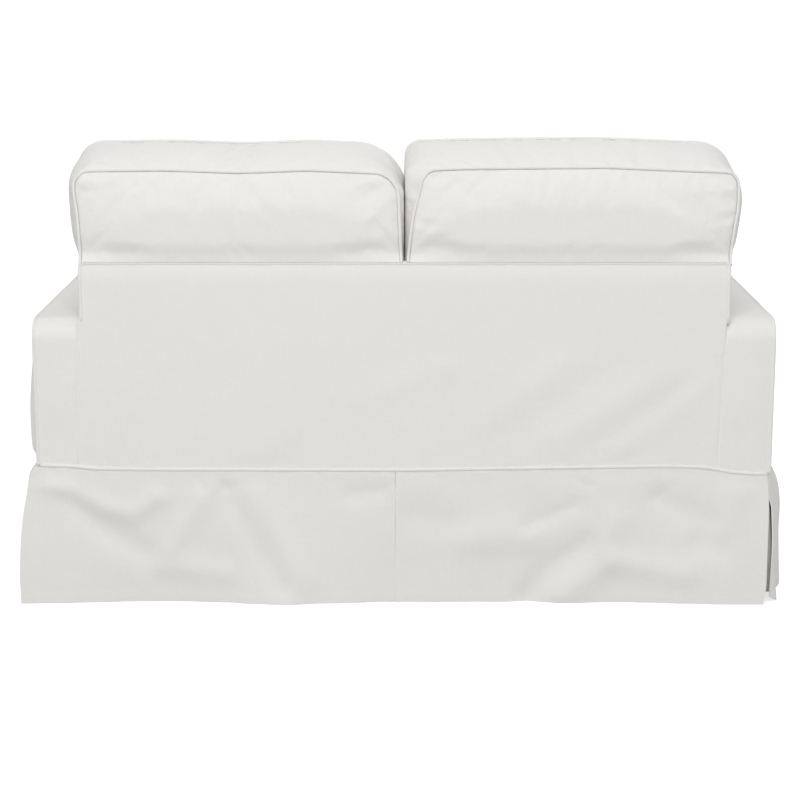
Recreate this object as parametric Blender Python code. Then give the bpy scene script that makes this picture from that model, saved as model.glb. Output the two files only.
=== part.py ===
"""Fitted slipcover of a two-seat sofa, with its boxed back and seat cushions.

The cover is sewn from flat panels of white cotton duck with round piping in the
outer seams, and a tailored skirt that is slit at the four corners.  The sofa
faces -Y, +X is its left side, the floor is Z = 0, and lengths are in metres.
"""
import math
from collections import namedtuple

import bmesh
import bpy
from mathutils import Vector

# ---------------------------------------------------------------- driving sizes
CLOTH = 0.0025            # thickness of the sewn cloth
GAP = 0.0003              # running gap between neighbouring pieces
PIPING_R = 0.004          # radius of the piping
SEAT_GAP = PIPING_R + GAP  # from a piping's centre line to the edge sewn to it

HALF_WIDTH = 0.730        # body of the cover, middle to the arm's outer face
HALF_DEPTH = 0.465        # body of the cover, middle to the outside back
ARM_TOP = 0.577           # height of the arm's top
ARM_INNER = 0.615         # middle to the arm's inner face
ARM_REAR_RADIUS = 0.040   # soft turn of the arm's top into its rear drop
ARM_CROWN = 0.004         # the arm's top stands up this much along its middle
ARM_SIDE_SWELL = 0.006    # and its outer side bulges by this much
REAR_INSET_LEFT = 0.003   # the cover's sides draw in by this much at the rear corners
REAR_INSET_RIGHT = 0.005

BACK_HALF = 0.6325        # half the width of the back above the arms
BACK_TOP = 0.690          # height of the back
BACK_TOP_DEPTH = 0.070    # thickness of the back at its top
BACK_RAKE = 0.2145        # the inside back runs forward this much for each metre down
BACK_CORNER = 0.010       # radius of the back's top corners

DECK_TOP = 0.315          # height of the seat deck
DECK_NOSE = 0.014         # radius of the deck's front edge

WELT_FRONT = 0.279        # height of the skirt's piping along the front
WELT_CORNER = 0.012       # plan radius of the skirt's piping at the corners

UNDERLAY_LEG = 0.050      # width of a corner underlay along each wall
UNDERLAY_CORNER = 0.012
UNDERLAY_LEAN = 0.006     # its hem hangs this far further in than its top
UNDERLAY_HEM = 0.008

SEAT_TOP = 0.485          # seam height of the seat cushions' upper face
SEAT_FRONT_LIP = 0.006    # the seat cushions stand this far proud of the arm fronts
CUSHION_SPLIT = 0.006     # half the space between a pair of seat cushions
BACK_CUSHION_THICK = 0.185
SEAT_PRESSED = 0.491      # height of the seat where the back cushions press it flat
SEAT_PRESSED_FROM = 0.135  # the pressed part runs back from here
BACK_CUSHION_FOOT = SEAT_PRESSED + SEAT_GAP + 0.0002  # height of their lower seam
SEAM_CHAMFER = 0.0064     # flat seat of a cushion's piping, cut across each seam edge

MID_X = HALF_WIDTH - CLOTH / 2    # centre line of the cloth in the side walls
MID_Y = HALF_DEPTH - CLOTH / 2    # centre line of the cloth in the back and front
MID_ARM_TOP = ARM_TOP - CLOTH / 2
MID_ARM_INNER = ARM_INNER + CLOTH / 2

# Height of the skirt's piping along the back: it dips and rises with the sewing.
WeltKnot = namedtuple("WeltKnot", "x height")
REAR_WELT = (
    WeltKnot(-(MID_X - REAR_INSET_RIGHT - WELT_CORNER), 0.2690),
    WeltKnot(-0.656, 0.2713),
    WeltKnot(-0.596, 0.2826),
    WeltKnot(-0.507, 0.2846),
    WeltKnot(0.000, 0.2765),
    WeltKnot(0.505, 0.2775),
    WeltKnot(0.620, 0.2790),
    WeltKnot(0.659, 0.2840),
    WeltKnot(MID_X - REAR_INSET_LEFT - WELT_CORNER, 0.2856),
)

# Plain seam between the outside back and each arm's rear drop.
BackSeam = namedtuple("BackSeam", "upper lower")
BACK_SEAMS = {
    1: BackSeam(0.6400, 0.6490),
    -1: BackSeam(0.6295, 0.6200),
}

CENTRE_SEAM = 0.018       # where the two halves of the back skirt meet

# Free ends of the back skirt: distance from the middle at each height.
EdgeKnot = namedtuple("EdgeKnot", "height x")
SKIRT_END_LEFT = (
    EdgeKnot(0.286, 0.7285),
    EdgeKnot(0.272, 0.7450),
    EdgeKnot(0.256, 0.7470),
    EdgeKnot(0.229, 0.7510),
    EdgeKnot(0.184, 0.7610),
    EdgeKnot(0.134, 0.7670),
    EdgeKnot(0.059, 0.7720),
    EdgeKnot(0.000, 0.7705),
)
SKIRT_END_RIGHT = (
    EdgeKnot(0.290, 0.7172),
    EdgeKnot(0.240, 0.7230),
    EdgeKnot(0.200, 0.7262),
    EdgeKnot(0.030, 0.7262),
    EdgeKnot(0.000, 0.7200),
)

# How far the hem swings out from the wall above it.
HemKnot = namedtuple("HemKnot", "along out")
HEM_BACK = (
    HemKnot(-0.73, 0.008),
    HemKnot(-0.64, 0.009),
    HemKnot(-0.56, 0.003),
    HemKnot(-0.49, -0.004),
    HemKnot(-0.43, -0.009),
    HemKnot(-0.34, -0.004),
    HemKnot(-0.25, -0.009),
    HemKnot(0.03, -0.009),
    HemKnot(0.15, 0.003),
    HemKnot(0.24, 0.015),
    HemKnot(0.31, 0.006),
    HemKnot(0.36, -0.004),
    HemKnot(0.46, -0.011),
    HemKnot(0.55, -0.009),
    HemKnot(0.62, -0.003),
    HemKnot(0.70, 0.003),
    HemKnot(0.78, 0.006),
)
HEM_FRONT = (
    HemKnot(-0.73, 0.014),
    HemKnot(-0.47, 0.004),
    HemKnot(-0.18, 0.017),
    HemKnot(0.08, 0.006),
    HemKnot(0.38, 0.019),
    HemKnot(0.73, 0.012),
)

# The side skirts puff out under their piping and swing in and out along the wall.  Each
# line gives how far they stand off it at four heights; they are sewn to it above those.
Swing = namedtuple("Swing", "along high middle low hem")
SWING_HEIGHTS = (0.249, 0.190, 0.110, 0.000)
SKIRT_SWING_LEFT = (
    Swing(-0.460, 0.006, 0.012, 0.018, 0.026),
    Swing(-0.220, 0.014, 0.026, 0.034, 0.040),
    Swing(0.020, 0.012, 0.022, 0.028, 0.032),
    Swing(0.200, 0.022, 0.034, 0.040, 0.044),
    Swing(0.350, 0.034, 0.042, 0.046, 0.046),
    Swing(0.420, 0.014, 0.026, 0.036, 0.040),
    Swing(0.462, 0.003, 0.014, 0.028, 0.034),
)
SKIRT_SWING_RIGHT = (
    Swing(-0.460, 0.006, 0.012, 0.018, 0.024),
    Swing(-0.200, 0.014, 0.026, 0.034, 0.040),
    Swing(0.050, 0.010, 0.020, 0.028, 0.034),
    Swing(0.200, 0.020, 0.036, 0.042, 0.046),
    Swing(0.320, 0.029, 0.048, 0.049, 0.053),
    Swing(0.400, 0.008, 0.012, 0.014, 0.018),
    Swing(0.462, 0.003, 0.004, 0.012, 0.025),
)

# Main folds.  A path is in (distance along the wall, height); height is how far
# the ridge stands out (a trough is negative) and half_width where it has faded.
Fold = namedtuple("Fold", "path half_width height")
BACK_FOLDS = (
    Fold(((0.310, 0.300), (0.215, 0.360)), 0.030, 0.003),
    Fold(((0.095, 0.415), (-0.080, 0.480)), 0.034, 0.004),
    Fold(((-0.160, 0.375), (-0.310, 0.490)), 0.036, 0.005),
    Fold(((-0.310, 0.340), (-0.510, 0.470)), 0.036, 0.005),
    Fold(((-0.410, 0.305), (-0.610, 0.460)), 0.032, 0.004),
    Fold(((-0.240, 0.370), (-0.420, 0.490)), 0.034, -0.003),
    Fold(((-0.380, 0.320), (-0.560, 0.450)), 0.026, -0.003),
)
SKIRT_FOLDS = (
    Fold(((0.700, 0.250), (0.600, 0.199), (0.540, 0.187), (0.492, 0.220)), 0.026, 0.009),
    Fold(((0.655, 0.205), (0.605, 0.155), (0.525, 0.105)), 0.034, -0.010),
    Fold(((0.468, 0.115), (0.398, 0.225)), 0.030, 0.007),
    Fold(((0.359, 0.232), (0.246, 0.036)), 0.030, -0.006),
    Fold(((0.300, 0.230), (0.200, 0.050)), 0.034, 0.005),
    Fold(((0.100, 0.225), (0.040, 0.235)), 0.026, -0.007),
    Fold(((-0.130, 0.105), (-0.240, 0.105)), 0.046, -0.010),
    Fold(((-0.240, 0.020), (-0.311, 0.093), (-0.413, 0.068)), 0.034, 0.010),
    Fold(((-0.400, 0.250), (-0.345, 0.190), (-0.330, 0.110)), 0.034, 0.006),
    Fold(((-0.535, 0.255), (-0.456, 0.222)), 0.030, -0.008),
    Fold(((-0.514, 0.000), (-0.514, 0.060)), 0.045, -0.008),
    Fold(((-0.640, 0.240), (-0.640, 0.020)), 0.040, 0.004),
)

# Back cushions.  Distance from the middle of the inner and outer sides by height, at the
# rear seam and from mid-depth forward, and the height of the top by distance.
SideKnot = namedtuple("SideKnot", "height x")
TopKnot = namedtuple("TopKnot", "x height")
BackCushion = namedtuple("BackCushion", "name side inner_rear inner_front outer_rear outer_front top")


def side_knots(*pairs):
    return tuple(SideKnot(*pair) for pair in pairs)


def top_knots(*pairs):
    return tuple(TopKnot(*pair) for pair in pairs)


BACK_CUSHIONS = (
    BackCushion(
        "back_cushion_left", 1,
        side_knots((0.688, 0.006), (0.754, 0.009), (0.811, 0.011), (0.870, 0.013)),
        side_knots((0.780, 0.004), (0.850, 0.006), (0.900, 0.010)),
        side_knots((0.570, 0.606), (0.684, 0.631), (0.778, 0.634), (0.834, 0.642)),
        side_knots((0.580, 0.606), (0.690, 0.642), (0.730, 0.650), (0.830, 0.662)),
        top_knots((0.000, 0.861), (0.076, 0.864), (0.188, 0.869), (0.320, 0.864), (0.460, 0.869), (0.642, 0.867)),
    ),
    BackCushion(
        "back_cushion_right", -1,
        side_knots((0.688, 0.006), (0.748, 0.012), (0.797, 0.019), (0.832, 0.029), (0.870, 0.037)),
        side_knots((0.780, 0.004), (0.850, 0.005), (0.900, 0.009)),
        side_knots((0.570, 0.606), (0.688, 0.634), (0.752, 0.638), (0.803, 0.647)),
        side_knots((0.580, 0.606), (0.690, 0.640), (0.750, 0.652), (0.800, 0.663)),
        top_knots((0.040, 0.869), (0.124, 0.872), (0.390, 0.8745), (0.543, 0.868), (0.647, 0.864)),
    ),
)
CUSHION_ABOVE_ARM = ARM_TOP + 0.012  # a back cushion swells over the arm from here up

# A back cushion slumps rearward over the back's top: how far, by height.
SlumpKnot = namedtuple("SlumpKnot", "height out")
SLUMP_FOOT = BACK_TOP + 0.0045
SLUMP_STEP = 0.0025       # it lies over the back's top within this height
SLUMP_CREASE = 0.0070     # its boxing is creased in beside that step
SLUMP_CREASE_DEPTH = 0.075
BACK_SLUMP = (
    SlumpKnot(SLUMP_FOOT + 0.35 * SLUMP_STEP, 0.000),
    SlumpKnot(SLUMP_FOOT + 0.65 * SLUMP_STEP, 0.058),
    SlumpKnot(0.725, 0.056),
    SlumpKnot(0.760, 0.050),
    SlumpKnot(0.810, 0.036),
    SlumpKnot(0.867, 0.017),
    SlumpKnot(0.920, 0.015),
)
CUSHION_CORNER = 0.045
CUSHION_CLEAR = 0.0015    # half the room left where a pair of cushions press together

OFF_WHITE = (0.86, 0.855, 0.84)
COTTON_ROUGHNESS = 0.85

# ---------------------------------------------------------------- small helpers


def clamp01(value):
    return max(0.0, min(1.0, value))


def ease(value):
    """Smooth step from 0 to 1."""
    value = clamp01(value)
    return value * value * (3.0 - 2.0 * value)


def mix(a, b, share):
    return a + (b - a) * share


def along_knots(knots, where):
    """Straight-line reading of a two-column table, which runs up or down."""
    rows = sorted(knots)
    if where <= rows[0][0]:
        return rows[0][1]
    for low, high in zip(rows, rows[1:]):
        if where <= high[0]:
            return mix(low[1], high[1], (where - low[0]) / (high[0] - low[0]))
    return rows[-1][1]


def soft_knots(knots, where):
    """Smooth reading of a two-column table."""
    rows = sorted(knots)
    if where <= rows[0][0]:
        return rows[0][1]
    for low, high in zip(rows, rows[1:]):
        if where <= high[0]:
            return mix(low[1], high[1], ease((where - low[0]) / (high[0] - low[0])))
    return rows[-1][1]


def flowing_knots(rows, where):
    """Reading of a rising two-column table along a curve without kinks."""
    if where <= rows[0][0]:
        return rows[0][1]
    if where >= rows[-1][0]:
        return rows[-1][1]
    i = max(k for k in range(len(rows) - 1) if rows[k][0] <= where)

    def slope(k):
        low, high = rows[max(k - 1, 0)], rows[min(k + 1, len(rows) - 1)]
        return (high[1] - low[1]) / (high[0] - low[0])

    run = rows[i + 1][0] - rows[i][0]
    t = (where - rows[i][0]) / run
    start, end = rows[i][1], rows[i + 1][1]
    bend = (slope(i) * run - (end - start)) * (1.0 - t) - (slope(i + 1) * run - (end - start)) * t
    return mix(start, end, t) + t * (1.0 - t) * bend


def stations(start, end, count, keep=()):
    """Even stations from start to end that also pass through the kept places."""
    low, high = min(start, end), max(start, end)
    pitch = (high - low) / count
    kept = [k for k in keep if low + 0.2 * pitch < k < high - 0.2 * pitch]
    places = [low, high] + kept
    for i in range(1, count):
        place = low + pitch * i
        if all(abs(place - k) > 0.35 * pitch for k in kept):
            places.append(place)
    places.sort()
    return places if start < end else places[::-1]


def distance_to_path(along, height, path):
    """Distance in a wall's plane from a point to a folded line."""
    best = 1e9
    point = Vector((along, height))
    for a, b in zip(path, path[1:]):
        start, end = Vector(a), Vector(b)
        run = end - start
        share = clamp01((point - start).dot(run) / run.length_squared)
        best = min(best, (point - start - run * share).length)
    return best


def fold_relief(folds, along, height):
    """Sum of the folds' heights at a place on a wall."""
    total = 0.0
    for fold in folds:
        reach = distance_to_path(along, height, fold.path) / fold.half_width
        total += fold.height * math.exp(-1.6 * reach * reach)
    return total


def cotton(name):
    material = bpy.data.materials.new(name)
    material.use_nodes = True
    shader = material.node_tree.nodes["Principled BSDF"]
    shader.inputs["Base Color"].default_value = (*OFF_WHITE, 1.0)
    shader.inputs["Roughness"].default_value = COTTON_ROUGHNESS
    shader.inputs["Metallic"].default_value = 0.0
    return material


def add_solid(name, vertices, faces):
    """One closed, outward-facing object with its own material."""
    mesh = bpy.data.meshes.new(name)
    shape = bmesh.new()
    made = [shape.verts.new(v) for v in vertices]
    for face in faces:
        shape.faces.new([made[i] for i in face])
    bmesh.ops.triangulate(shape, faces=shape.faces[:])
    bmesh.ops.recalc_face_normals(shape, faces=shape.faces[:])
    if shape.calc_volume(signed=True) < 0.0:
        bmesh.ops.reverse_faces(shape, faces=shape.faces[:])
    shape.to_mesh(mesh)
    shape.free()
    mesh.shade_smooth()
    mesh.set_sharp_from_angle(angle=math.radians(40))
    mesh.materials.append(cotton(name + "_cotton"))
    item = bpy.data.objects.new(name, mesh)
    bpy.context.scene.collection.objects.link(item)
    return item


def add_sheet(name, rows, inward):
    """A sheet of cloth: rows of points on its outer face, thickened inward.

    inward is one direction for the whole sheet or one for each row."""
    count, width = len(rows), len(rows[0])
    if isinstance(inward, Vector):
        inward = [inward] * count
    outer = [Vector(p) for row in rows for p in row]
    inner = [Vector(p) + inward[i] * CLOTH for i, row in enumerate(rows) for p in row]
    half = count * width
    faces = []
    for i in range(count - 1):
        for j in range(width - 1):
            a = i * width + j
            quad = (a, a + 1, a + width + 1, a + width)
            faces.append(quad)
            faces.append(tuple(half + k for k in reversed(quad)))
    rim = [j for j in range(width)]
    rim += [i * width + width - 1 for i in range(1, count)]
    rim += [(count - 1) * width + j for j in range(width - 2, -1, -1)]
    rim += [i * width for i in range(count - 2, 0, -1)]
    for a, b in zip(rim, rim[1:] + rim[:1]):
        faces.append((b, a, half + a, half + b))
    return add_solid(name, outer + inner, faces)


def add_piping(name, path, facing, closed=False, sides=6):
    """A round cord along a path; facing is a direction square to most of it."""
    count = len(path)
    vertices = []
    for i, point in enumerate(path):
        if closed:
            before, after = path[i - 1], path[(i + 1) % count]
        else:
            before, after = path[max(i - 1, 0)], path[min(i + 1, count - 1)]
        run = (Vector(after) - Vector(before)).normalized()
        across = run.cross(facing).normalized()
        up = across.cross(run).normalized()
        for k in range(sides):
            angle = math.tau * (k + 0.5) / sides
            vertices.append(Vector(point) + (across * math.cos(angle) + up * math.sin(angle)) * PIPING_R)
    faces = []
    for i in range(count if closed else count - 1):
        a, b = i * sides, ((i + 1) % count) * sides
        for k in range(sides):
            faces.append((a + k, a + (k + 1) % sides, b + (k + 1) % sides, b + k))
    if not closed:
        faces.append(tuple(range(sides)))
        faces.append(tuple(reversed(range((count - 1) * sides, count * sides))))
    return add_solid(name, vertices, faces)


def rounded_route(corners, radius, steps):
    """An open route of 2-D points with each inner corner turned on an arc."""
    route = [Vector(corners[0])]
    for before, corner, after in zip(corners, corners[1:], corners[2:]):
        corner = Vector(corner)
        back = (Vector(before) - corner).normalized()
        ahead = (Vector(after) - corner).normalized()
        centre = corner + (back + ahead) * radius
        for i in range(steps + 1):
            angle = math.pi / 2 * i / steps
            route.append(centre - ahead * radius * math.cos(angle) - back * radius * math.sin(angle))
    route.append(Vector(corners[-1]))
    return route


# ---------------------------------------------------------------- shared seam lines


def rear_welt(x):
    return along_knots(REAR_WELT, x)


def side_welt(side, y):
    """The skirt's piping along a side, level with the back's at the rear corner."""
    rear = REAR_WELT[-1].height if side > 0 else REAR_WELT[0].height
    return mix(WELT_FRONT, rear, clamp01((y + MID_Y - WELT_CORNER) / (2 * (MID_Y - WELT_CORNER))))


def inside_back_y(z):
    """Front face of the inside back, which leans back as it rises."""
    return HALF_DEPTH - BACK_TOP_DEPTH - BACK_RAKE * (BACK_TOP - z)


def side_inset(side, y):
    """How far the cover's side draws in: not at all in front, fully at the rear."""
    full = REAR_INSET_LEFT if side > 0 else REAR_INSET_RIGHT
    return full * clamp01((y + MID_Y) / (2 * MID_Y))


def skirt_swing(side, y, z, top):
    """How far a side skirt stands off its wall."""
    table = SKIRT_SWING_LEFT if side > 0 else SKIRT_SWING_RIGHT
    knots = [(height, flowing_knots([(row.along, row[k + 1]) for row in table], y))
             for k, height in enumerate(SWING_HEIGHTS)]
    return flowing_knots(knots[::-1] + [(top, 0.0)], z)


def back_seam(side, z):
    seam = BACK_SEAMS[side]
    share = clamp01((z - WELT_FRONT) / (ARM_TOP - WELT_FRONT))
    return side * mix(seam.lower, seam.upper, share)


def outside_back_edge(side, z):
    """Edge of the outside back: at the piping above the arm, at the seam below it."""
    if z > ARM_TOP:
        return side * (BACK_HALF - CLOTH / 2 - SEAT_GAP)
    return back_seam(side, z)


# ---------------------------------------------------------------- body panels


def make_outside_back():
    keep = [knot.x for knot in REAR_WELT]
    left_low = outside_back_edge(1, WELT_FRONT)
    right_low = outside_back_edge(-1, WELT_FRONT)
    lower = stations(right_low, left_low, 24, keep)
    shares = [(x - right_low) / (left_low - right_low) for x in lower]
    top = BACK_TOP - CLOTH / 2 - SEAT_GAP
    corner_cut = (BACK_CORNER - CLOTH / 2 - SEAT_GAP) * (1.0 - math.sqrt(0.5))
    levels = [0.0, 0.325, 0.365, 0.405, 0.445, 0.485, 0.525, 0.568, ARM_TOP + SEAT_GAP, 0.635, top]
    rows = []
    for level in levels:
        row = []
        right, left = outside_back_edge(-1, level), outside_back_edge(1, level)
        for i, share in enumerate(shares):
            x = mix(right, left, share)
            z = level or rear_welt(lower[i]) + SEAT_GAP
            inset = min(share, 1.0 - share) * (left - right)
            fade = ease(inset / 0.05) * ease((z - 0.29) / 0.03) * ease((top - z) / 0.05)
            if level == 0.0:
                fade = 0.0
            if level == top and i in (0, len(shares) - 1):
                x -= math.copysign(corner_cut, x)
                z -= corner_cut
            row.append((x, HALF_DEPTH + fade * fold_relief(BACK_FOLDS, x, z), z))
        rows.append(row)
    return add_sheet("outside_back", rows, Vector((0, -1, 0)))


def back_band_route(inset, foot):
    """Route up one side of the back, over its top and down the other side."""
    half = BACK_HALF - inset
    top = BACK_TOP - inset
    corners = ((half, foot), (half, top), (-half, top), (-half, foot))
    return rounded_route(corners, BACK_CORNER - inset, 3)


def make_back_band():
    foot = ARM_TOP + ARM_CROWN + GAP
    outer = back_band_route(0.0, foot)
    rear = MID_Y - SEAT_GAP
    rows, inward = [], []
    for i, point in enumerate(outer):
        sideways = math.copysign(1.0, point.x)
        centre = Vector((sideways * (BACK_HALF - BACK_CORNER), BACK_TOP - BACK_CORNER))
        spoke = (centre - point).normalized()
        if i in (0, len(outer) - 1):
            spoke = Vector((-sideways, 0.0))
        inward.append(Vector((spoke.x, 0.0, spoke.y)))
        front = inside_back_y(point.y) + CLOTH + GAP
        rows.append([(point.x, mix(rear, front, share), point.y) for share in (0.0, 0.5, 1.0)])
    return add_sheet("back_band", rows, inward)


def make_inside_back():
    narrow, wide = ARM_INNER - GAP, BACK_HALF - 0.004
    outline = (
        (DECK_TOP + GAP, narrow),
        (0.440, narrow),
        (ARM_TOP + 0.002, narrow),
        (ARM_TOP + 0.005, wide),
        (0.640, wide),
        (BACK_TOP, wide - BACK_CORNER * 0.6),
    )
    rows = [[(half * mix(1.0, -1.0, i / 6), inside_back_y(z), z) for i in range(7)] for z, half in outline]
    return add_sheet("inside_back", rows, Vector((0, 1, 0)))


def arm_profile():
    """Side view of the arm's top and rear drop, front to rear, with outward normals."""
    centre_y, centre_z = HALF_DEPTH - ARM_REAR_RADIUS, ARM_TOP - ARM_REAR_RADIUS
    up = Vector((0, 0, 1))
    profile = [(y, ARM_TOP, up) for y in (-MID_Y + SEAT_GAP, -0.30, -0.12, 0.06, 0.22, 0.34)]
    for i in range(5):
        angle = math.pi / 2 * i / 4
        out = Vector((0, math.sin(angle), math.cos(angle)))
        profile.append((centre_y + ARM_REAR_RADIUS * out.y, centre_z + ARM_REAR_RADIUS * out.z, out))
    back = Vector((0, 1, 0))
    profile += [(HALF_DEPTH, z, back) for z in (0.47, 0.40, 0.33, 0.0)]
    return profile


def make_arm_band(side):
    outer_x = side * (MID_X - side_inset(side, HALF_DEPTH) - SEAT_GAP)
    foot_inner = back_seam(side, WELT_FRONT) + side * GAP
    keep = [knot.x for knot in REAR_WELT]
    foot = stations(foot_inner, outer_x, 3, keep)
    shares = [(x - foot_inner) / (outer_x - foot_inner) for x in foot]
    rows, inward = [], []
    for y, z, out in arm_profile():
        dropped = clamp01(3.0 * out.y)
        inner_x = mix(side * ARM_INNER, back_seam(side, max(z, WELT_FRONT)) + side * GAP, dropped)
        edge_x = side * (MID_X - side_inset(side, y) - SEAT_GAP)
        row = []
        for i, share in enumerate(shares):
            x = mix(inner_x, edge_x, share)
            crown = ARM_CROWN * math.sin(math.pi * share) * ease((y + MID_Y) / 0.05)
            if z == 0.0:
                row.append(Vector((x, y, rear_welt(foot[i]) + SEAT_GAP)))
            else:
                fade = ease((z - 0.33) / 0.1)
                row.append(Vector((x, y, z)) + out * crown * fade)
        rows.append(row)
        inward.append(-out)
    return add_sheet("arm_band_" + ("left" if side > 0 else "right"), rows, inward)


def arm_outer_outline(y):
    """Upper edge of the arm's outer panel, under its piping."""
    centre_y, centre_z = HALF_DEPTH - ARM_REAR_RADIUS, ARM_TOP - ARM_REAR_RADIUS
    radius = ARM_REAR_RADIUS - CLOTH / 2 - SEAT_GAP
    if y <= centre_y:
        return MID_ARM_TOP - SEAT_GAP
    return centre_z + math.sqrt(max(0.0, radius ** 2 - (y - centre_y) ** 2))


def make_arm_outer(side):
    rear = MID_Y - SEAT_GAP
    radius = ARM_REAR_RADIUS - CLOTH / 2 - SEAT_GAP
    arc = [HALF_DEPTH - ARM_REAR_RADIUS + radius * math.sin(math.pi / 2 * i / 4) for i in range(4)]
    places = stations(-MID_Y + SEAT_GAP, arc[0], 9)[:-1] + arc + [rear]
    columns = []
    for y in places:
        low = side_welt(side, y) + SEAT_GAP
        high = arm_outer_outline(y)
        column = []
        for i in range(6):
            share = i / 5
            edge = math.sin(math.pi * share) * ease((rear - y) / 0.06 + 0.1) * ease((y + rear) / 0.08)
            x = HALF_WIDTH - side_inset(side, y) + ARM_SIDE_SWELL * edge
            column.append((side * x, y, mix(low, high, share)))
        columns.append(column)
    return add_sheet("arm_outer_" + ("left" if side > 0 else "right"), columns, Vector((-side, 0, 0)))


def make_arm_inner(side):
    front = -MID_Y + SEAT_GAP
    rows = []
    for z in (DECK_TOP + GAP, 0.40, 0.49, ARM_TOP - CLOTH - GAP):
        rear = inside_back_y(z) + CLOTH + 0.010
        rows.append([(side * ARM_INNER, mix(front, rear, i / 6), z) for i in range(7)])
    return add_sheet("arm_inner_" + ("left" if side > 0 else "right"), rows, Vector((side, 0, 0)))


def make_arm_front(side):
    inner = MID_ARM_INNER + SEAT_GAP
    outer = MID_X - SEAT_GAP
    top = MID_ARM_TOP - SEAT_GAP
    low = WELT_FRONT + SEAT_GAP
    rows = []
    for i in range(6):
        share = i / 5
        row = []
        for j in range(4):
            across = j / 3
            x, z = mix(inner, outer, across), mix(low, top, share)
            if i == 5 and j in (0, 3):
                z -= 0.004
                x += 0.004 if j == 0 else -0.004
            swell = 0.004 * math.sin(math.pi * share) * math.sin(math.pi * across)
            row.append((side * x, -HALF_DEPTH - swell, z))
        rows.append(row)
    return add_sheet("arm_front_" + ("left" if side > 0 else "right"), rows, Vector((0, 1, 0)))


def make_seat_deck():
    rear = inside_back_y(DECK_TOP)
    nose_half = MID_ARM_INNER - SEAT_GAP - GAP
    wide_half = ARM_INNER + CLOTH
    nose_y, nose_z = -HALF_DEPTH + DECK_NOSE, DECK_TOP - DECK_NOSE
    up, ahead = Vector((0, 0, 1)), Vector((0, -1, 0))
    profile = [(y, DECK_TOP, up, wide_half) for y in (rear, 0.1, -0.18, -MID_Y + SEAT_GAP + 0.004)]
    for i in range(1, 4):
        angle = math.pi / 2 * i / 3
        out = up * math.cos(angle) + ahead * math.sin(angle)
        profile.append((nose_y + DECK_NOSE * out.y, nose_z + DECK_NOSE * out.z, out, nose_half))
    profile.append((-HALF_DEPTH, WELT_FRONT + SEAT_GAP, ahead, nose_half))
    rows = [[Vector((half * mix(1, -1, i / 6), y, z)) for i in range(7)] for y, z, _, half in profile]
    return add_sheet("seat_deck", rows, [-out for _, _, out, _ in profile])


# ---------------------------------------------------------------- skirt


def make_back_skirt(side):
    ends = SKIRT_END_LEFT if side > 0 else SKIRT_END_RIGHT
    seam = CENTRE_SEAM + side * GAP / 2
    top_end = side * along_knots(ends, 0.29)
    upper = stations(seam, top_end, 18, [knot.x for knot in REAR_WELT])
    shares = [(x - seam) / (top_end - seam) for x in upper]
    rows = []
    for step in range(10):
        drop = (step / 9) ** 1.1
        row = []
        for i, share in enumerate(shares):
            top = rear_welt(upper[i]) - SEAT_GAP
            z = top * (1.0 - drop)
            x = mix(seam, side * along_knots(ends, z if step else 0.29), share)
            seam_hold = ease(abs(x - CENTRE_SEAM) / 0.03)
            out = soft_knots(HEM_BACK, x) * drop ** 1.3
            relief = fold_relief(SKIRT_FOLDS, x, z) * ease(drop / 0.14) * seam_hold
            end_hold = ease((abs(top_end) - abs(x) - UNDERLAY_LEG) / 0.06)
            if relief < 0.0:
                relief *= end_hold
            row.append((x, HALF_DEPTH + out + relief, z))
        rows.append(row)
    return add_sheet("skirt_back_" + ("left" if side > 0 else "right"), rows, Vector((0, -1, 0)))


def make_side_skirt(side):
    rear = HALF_DEPTH - CLOTH - GAP
    front = -rear
    rows = []
    for drop in (0.0, 0.05, 0.10, 0.19, 0.30, 0.44, 0.58, 0.72, 0.86, 1.0):
        row = []
        for y in stations(front, rear, 14, (0.32, 0.36, 0.40, 0.435)):
            top = side_welt(side, y) - SEAT_GAP
            z = top * (1.0 - drop)
            x = HALF_WIDTH - side_inset(side, y) + skirt_swing(side, y, z, top)
            row.append((side * x, y, z))
        rows.append(row)
    return add_sheet("skirt_side_" + ("left" if side > 0 else "right"), rows, Vector((-side, 0, 0)))


def make_front_skirt():
    top = WELT_FRONT - SEAT_GAP
    half = HALF_WIDTH
    rows = []
    for step in range(8):
        drop = step / 7
        row = []
        for x in stations(-half, half, 20):
            out = soft_knots(HEM_FRONT, x) * drop ** 1.3
            row.append((x * (1.0 + 0.012 * drop), -HALF_DEPTH - out, top * (1.0 - drop)))
        rows.append(row)
    return add_sheet("skirt_front", rows, Vector((0, 1, 0)))


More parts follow.
